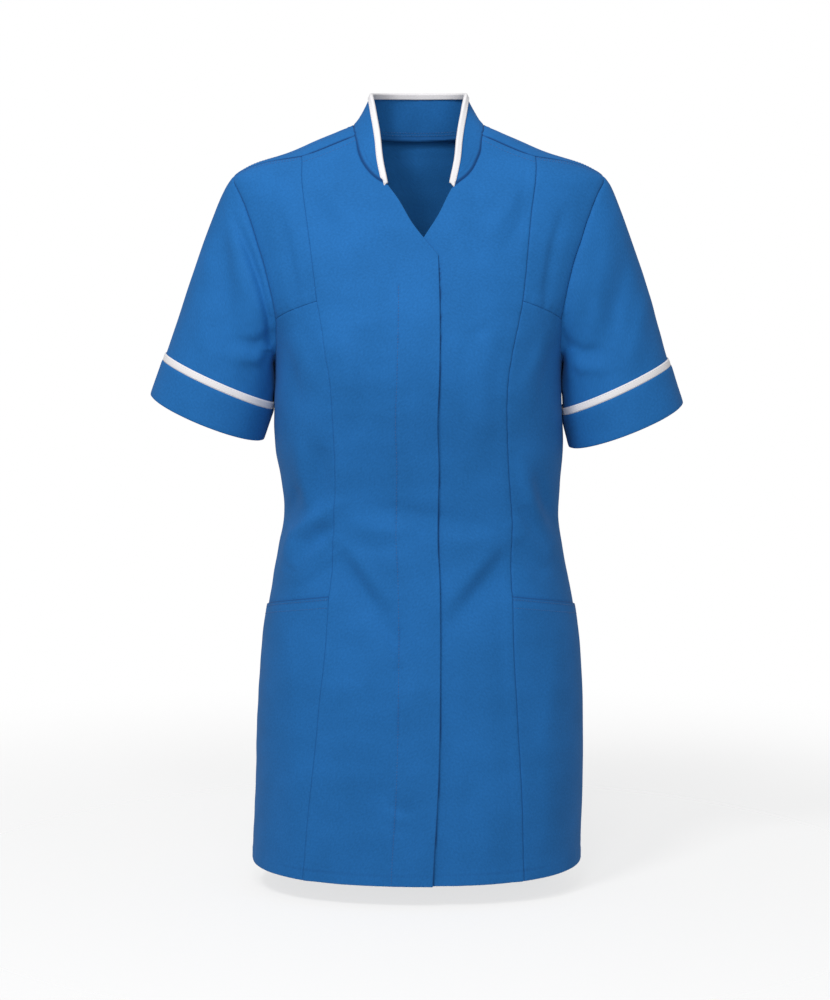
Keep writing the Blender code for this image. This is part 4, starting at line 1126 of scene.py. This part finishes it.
def sleevePieces():
    armhole, around = armholeRing()
    for side, sign in (("right", -1), ("left", 1)):
        spec = sleeves[side]
        topRing, end = oval(spec["tapeTop"], sign, around), oval(spec["end"], sign, around)
        hang = unit(np.array(spec["end"][:3]) - np.array(spec["tapeTop"][:3]))
        tube = sleeveTube(armhole * np.array([-sign, 1, 1]), topRing, hang, around, sign)
        downhill = unit(end - topRing)
        tapeShares = np.linspace(0, 1, 6)[1:, None, None]
        tapeRows = clearOfBody(topRing + downhill * sleeves["tapeWidth"] * tapeShares, sign)
        cuffTop = topRing + downhill * (sleeves["tapeWidth"] + 0.6)
        cuffShares = np.concatenate([[0, 0.008, 0.025], np.linspace(0.06, 0.96, 16), [0.985, 1]])
        cuffShares = cuffShares[:, None, None]
        cuffRows = clearOfBody(cuffTop * (1 - cuffShares) + end * cuffShares, sign)
        grid = np.concatenate([tube, tapeRows, cuffRows])
        normal = gridNormals(grid, True)
        if np.sum(normal * (grid - grid.mean(axis=1, keepdims=True))) < 0:
            normal = -normal
        # creases and unevenness, fading at the sleeve's two edges, beside the body and near the armhole
        depth = grid[..., 1]
        height = np.clip(np.abs(depth) / 22, 0, 1) * np.where(
            depth < 0, creaseHeight(grid, sleeveCreases["front"]),
            creaseHeight(grid, sleeveCreases["behind"]))
        height = height + clothWave(grid, 11, sleeves["waves"])
        away = np.minimum(np.abs(sign * grid[..., 0] - 155), 12) / 12
        height = height * np.where(grid[..., 2] < -225, away, 1) * ease((reachOf(grid)[0] - 7) / 9)

        def layers(rows, lift, wall):
            # the two faces of the rows' cloth, lifted off the tube
            centre = grid[rows] + normal[rows] * lift[..., None]
            return centre + normal[rows] * wall / 2, centre - normal[rows] * wall / 2

        last = len(tube) + len(tapeRows)
        rim = reachOf(grid[:last])[0]
        fromSeam = np.maximum(rim - 7.0, 0)
        gathers = 0.2 * np.sin(around * 30)[None] * np.exp(-((fromSeam - 4) / 4)**2)
        outer, inner = layers(slice(0, last), height[:last] + gathers, sewing["wall"])
        # painted shade at the sleeve's root, along the armhole seam
        dark = 0.7 * np.exp(-(np.maximum(rim - 6.5, 0) / 1.2)**2)
        sleeve = shellPiece(f"sleeve{side.title()}", outer, inner, blueTwill, wrapped=True, dark=dark)
        # white tape, crowned and stitched flat along both edges
        band = slice(len(tube) - 1, last)
        lift = height[band] + sleeves["tapeStep"] + np.array(sleeves["crown"])[:, None]
        outer, inner = layers(band, lift, sleeves["tapeWall"])
        tapePiece = shellPiece(f"sleeveTape{side.title()}", outer, inner, whiteTape, wrapped=True)
        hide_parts(f"trim_{side}")
        finishPiece(f"sleeve_{side}")
        run = reachOf((outer + inner) / 2)[0]
        for place in sleeves["tapeStitch"]:
            sewAcross(outer, inner, run, place, "white")
        # deep cuff, two layers, turned at its lower edge
        low, high = reachOf(grid[last:])[:2]
        pressed = -0.3 * np.exp(-(low / 1.2)**2) - 0.25 * np.exp(-(high / 1.4)**2)
        outer, inner = layers(slice(last, None), height[last:] * 0.8 + pressed + sleeves["cuffStep"],
                              sleeves["cuffWall"])
        cuff = shellPiece(f"cuff{side.title()}", outer, inner, blueTwill, wrapped=True)
        finishPiece(f"cuff_{side}")


neckRight = frontHalf("fly", "right")
neckLeft = frontHalf("under", "left")
print("fronts and pockets cut and laid")
neckBack = backPiece()
print("back laid")
collarPieces(neckRight, neckLeft, neckBack)
print("collar and binding made")
sleevePieces()
print("sleeves, tapes and cuffs made")
blueCount = stitchPiece("blueStitching", threadLines["blue"], blueThread)
whiteCount = stitchPiece("whiteStitching", threadLines["white"], whiteThread)
print("stitches sewn:", blueCount, "blue and", whiteCount, "white")

# Plain pale paper floor below the hem, thinning out into the white room
floor = {"level": -0.80, "half": 2.5, "colour": "#fafafa", "fade": 0.72}


def floorPiece():
    mesh = bpy.data.meshes.new("floor")
    far = floor["half"]
    mesh.from_pydata([(-far, -far, floor["level"]), (far, -far, floor["level"]), (far, far, floor["level"]),
                      (-far, far, floor["level"])], [], [(0, 1, 2, 3)])
    material, tree, surface = startMaterial("whitePaperFloor")
    surface.inputs["Base Color"].default_value = hexColour(floor["colour"])
    surface.inputs["Roughness"].default_value = 0.9
    place = addNode(tree, "ShaderNodeTexCoord")
    away = addNode(tree, "ShaderNodeVectorMath", {"operation": "LENGTH"}, {0: place.outputs["Object"]})
    share = addNode(tree, "ShaderNodeMapRange", {"From Min": 0.85, "From Max": 1.5, "To Min": floor["fade"],
                                                "interpolation_type": "SMOOTHSTEP"},
                    {"Value": away.outputs["Value"]})
    clear = addNode(tree, "ShaderNodeBsdfTransparent")
    mixed = addNode(tree, "ShaderNodeMixShader", None,
                    {0: share.outputs["Result"], 1: surface.outputs["BSDF"], 2: clear.outputs["BSDF"]})
    tree.links.new(mixed.outputs["Shader"], tree.nodes["Material Output"].inputs["Surface"])
    mesh.materials.append(material)
    addPiece("floor", mesh)


# Soft studio light: a bright room and three soft boxes; centre, what it faces, size and watts
lights = {
    "room": 0.42,
    "key": ((-0.95, -1.6, 1.75), (0.0, 0.0, -0.35), 0.5, 35.0),
    "fill": ((0.5, -2.9, 0.1), (0.0, 0.0, -0.3), 0.8, 11.0),
    "neck": ((-0.1, -1.4, 0.9), (0.0, 0.05, -0.06), 0.3, 7.0),
}


def addLights():
    world = bpy.data.worlds.new("brightRoom")
    world.use_nodes = True
    tree = world.node_tree
    room = tree.nodes["Background"]
    room.inputs["Color"].default_value = (1, 1, 1, 1)
    room.inputs["Strength"].default_value = lights["room"]
    seen = addNode(tree, "ShaderNodeBackground", {"Color": (1, 1, 1, 1), "Strength": 1.0})
    ray = addNode(tree, "ShaderNodeLightPath")
    mixed = addNode(tree, "ShaderNodeMixShader", None, {0: ray.outputs["Is Camera Ray"],
                                                       1: room.outputs["Background"],
                                                       2: seen.outputs["Background"]})
    tree.links.new(mixed.outputs["Shader"], tree.nodes["World Output"].inputs["Surface"])
    bpy.context.scene.world = world
    for name in ("key", "fill", "neck"):
        centre, target, size, watts = lights[name]
        data = bpy.data.lights.new(name, "AREA")
        data.size = size
        data.energy = watts
        lamp = bpy.data.objects.new(name, data)
        lamp.location = centre
        lamp.rotation_euler = (Vector(target) - Vector(centre)).to_track_quat("-Z", "Y").to_euler()
        bpy.context.scene.collection.objects.link(lamp)


# The photograph's view: 3 m away, level with the chest, looking a little down, on a frame 830 by 1000
camera = {"place": (-0.0037, -3.0, -0.069), "pitchDown": 6.05, "lens": 101.89, "sensor": 36.0}


def addCamera():
    data = bpy.data.cameras.new("photoView")
    data.lens = camera["lens"]
    data.sensor_width = camera["sensor"]
    eye = bpy.data.objects.new("photoView", data)
    eye.location = camera["place"]
    eye.rotation_euler = (np.radians(90 - camera["pitchDown"]), 0, 0)
    bpy.context.scene.collection.objects.link(eye)
    bpy.context.scene.camera = eye
    bpy.context.scene.view_settings.view_transform = "Standard"


floorPiece()
addLights()
addCamera()
print("floor, light and camera set")
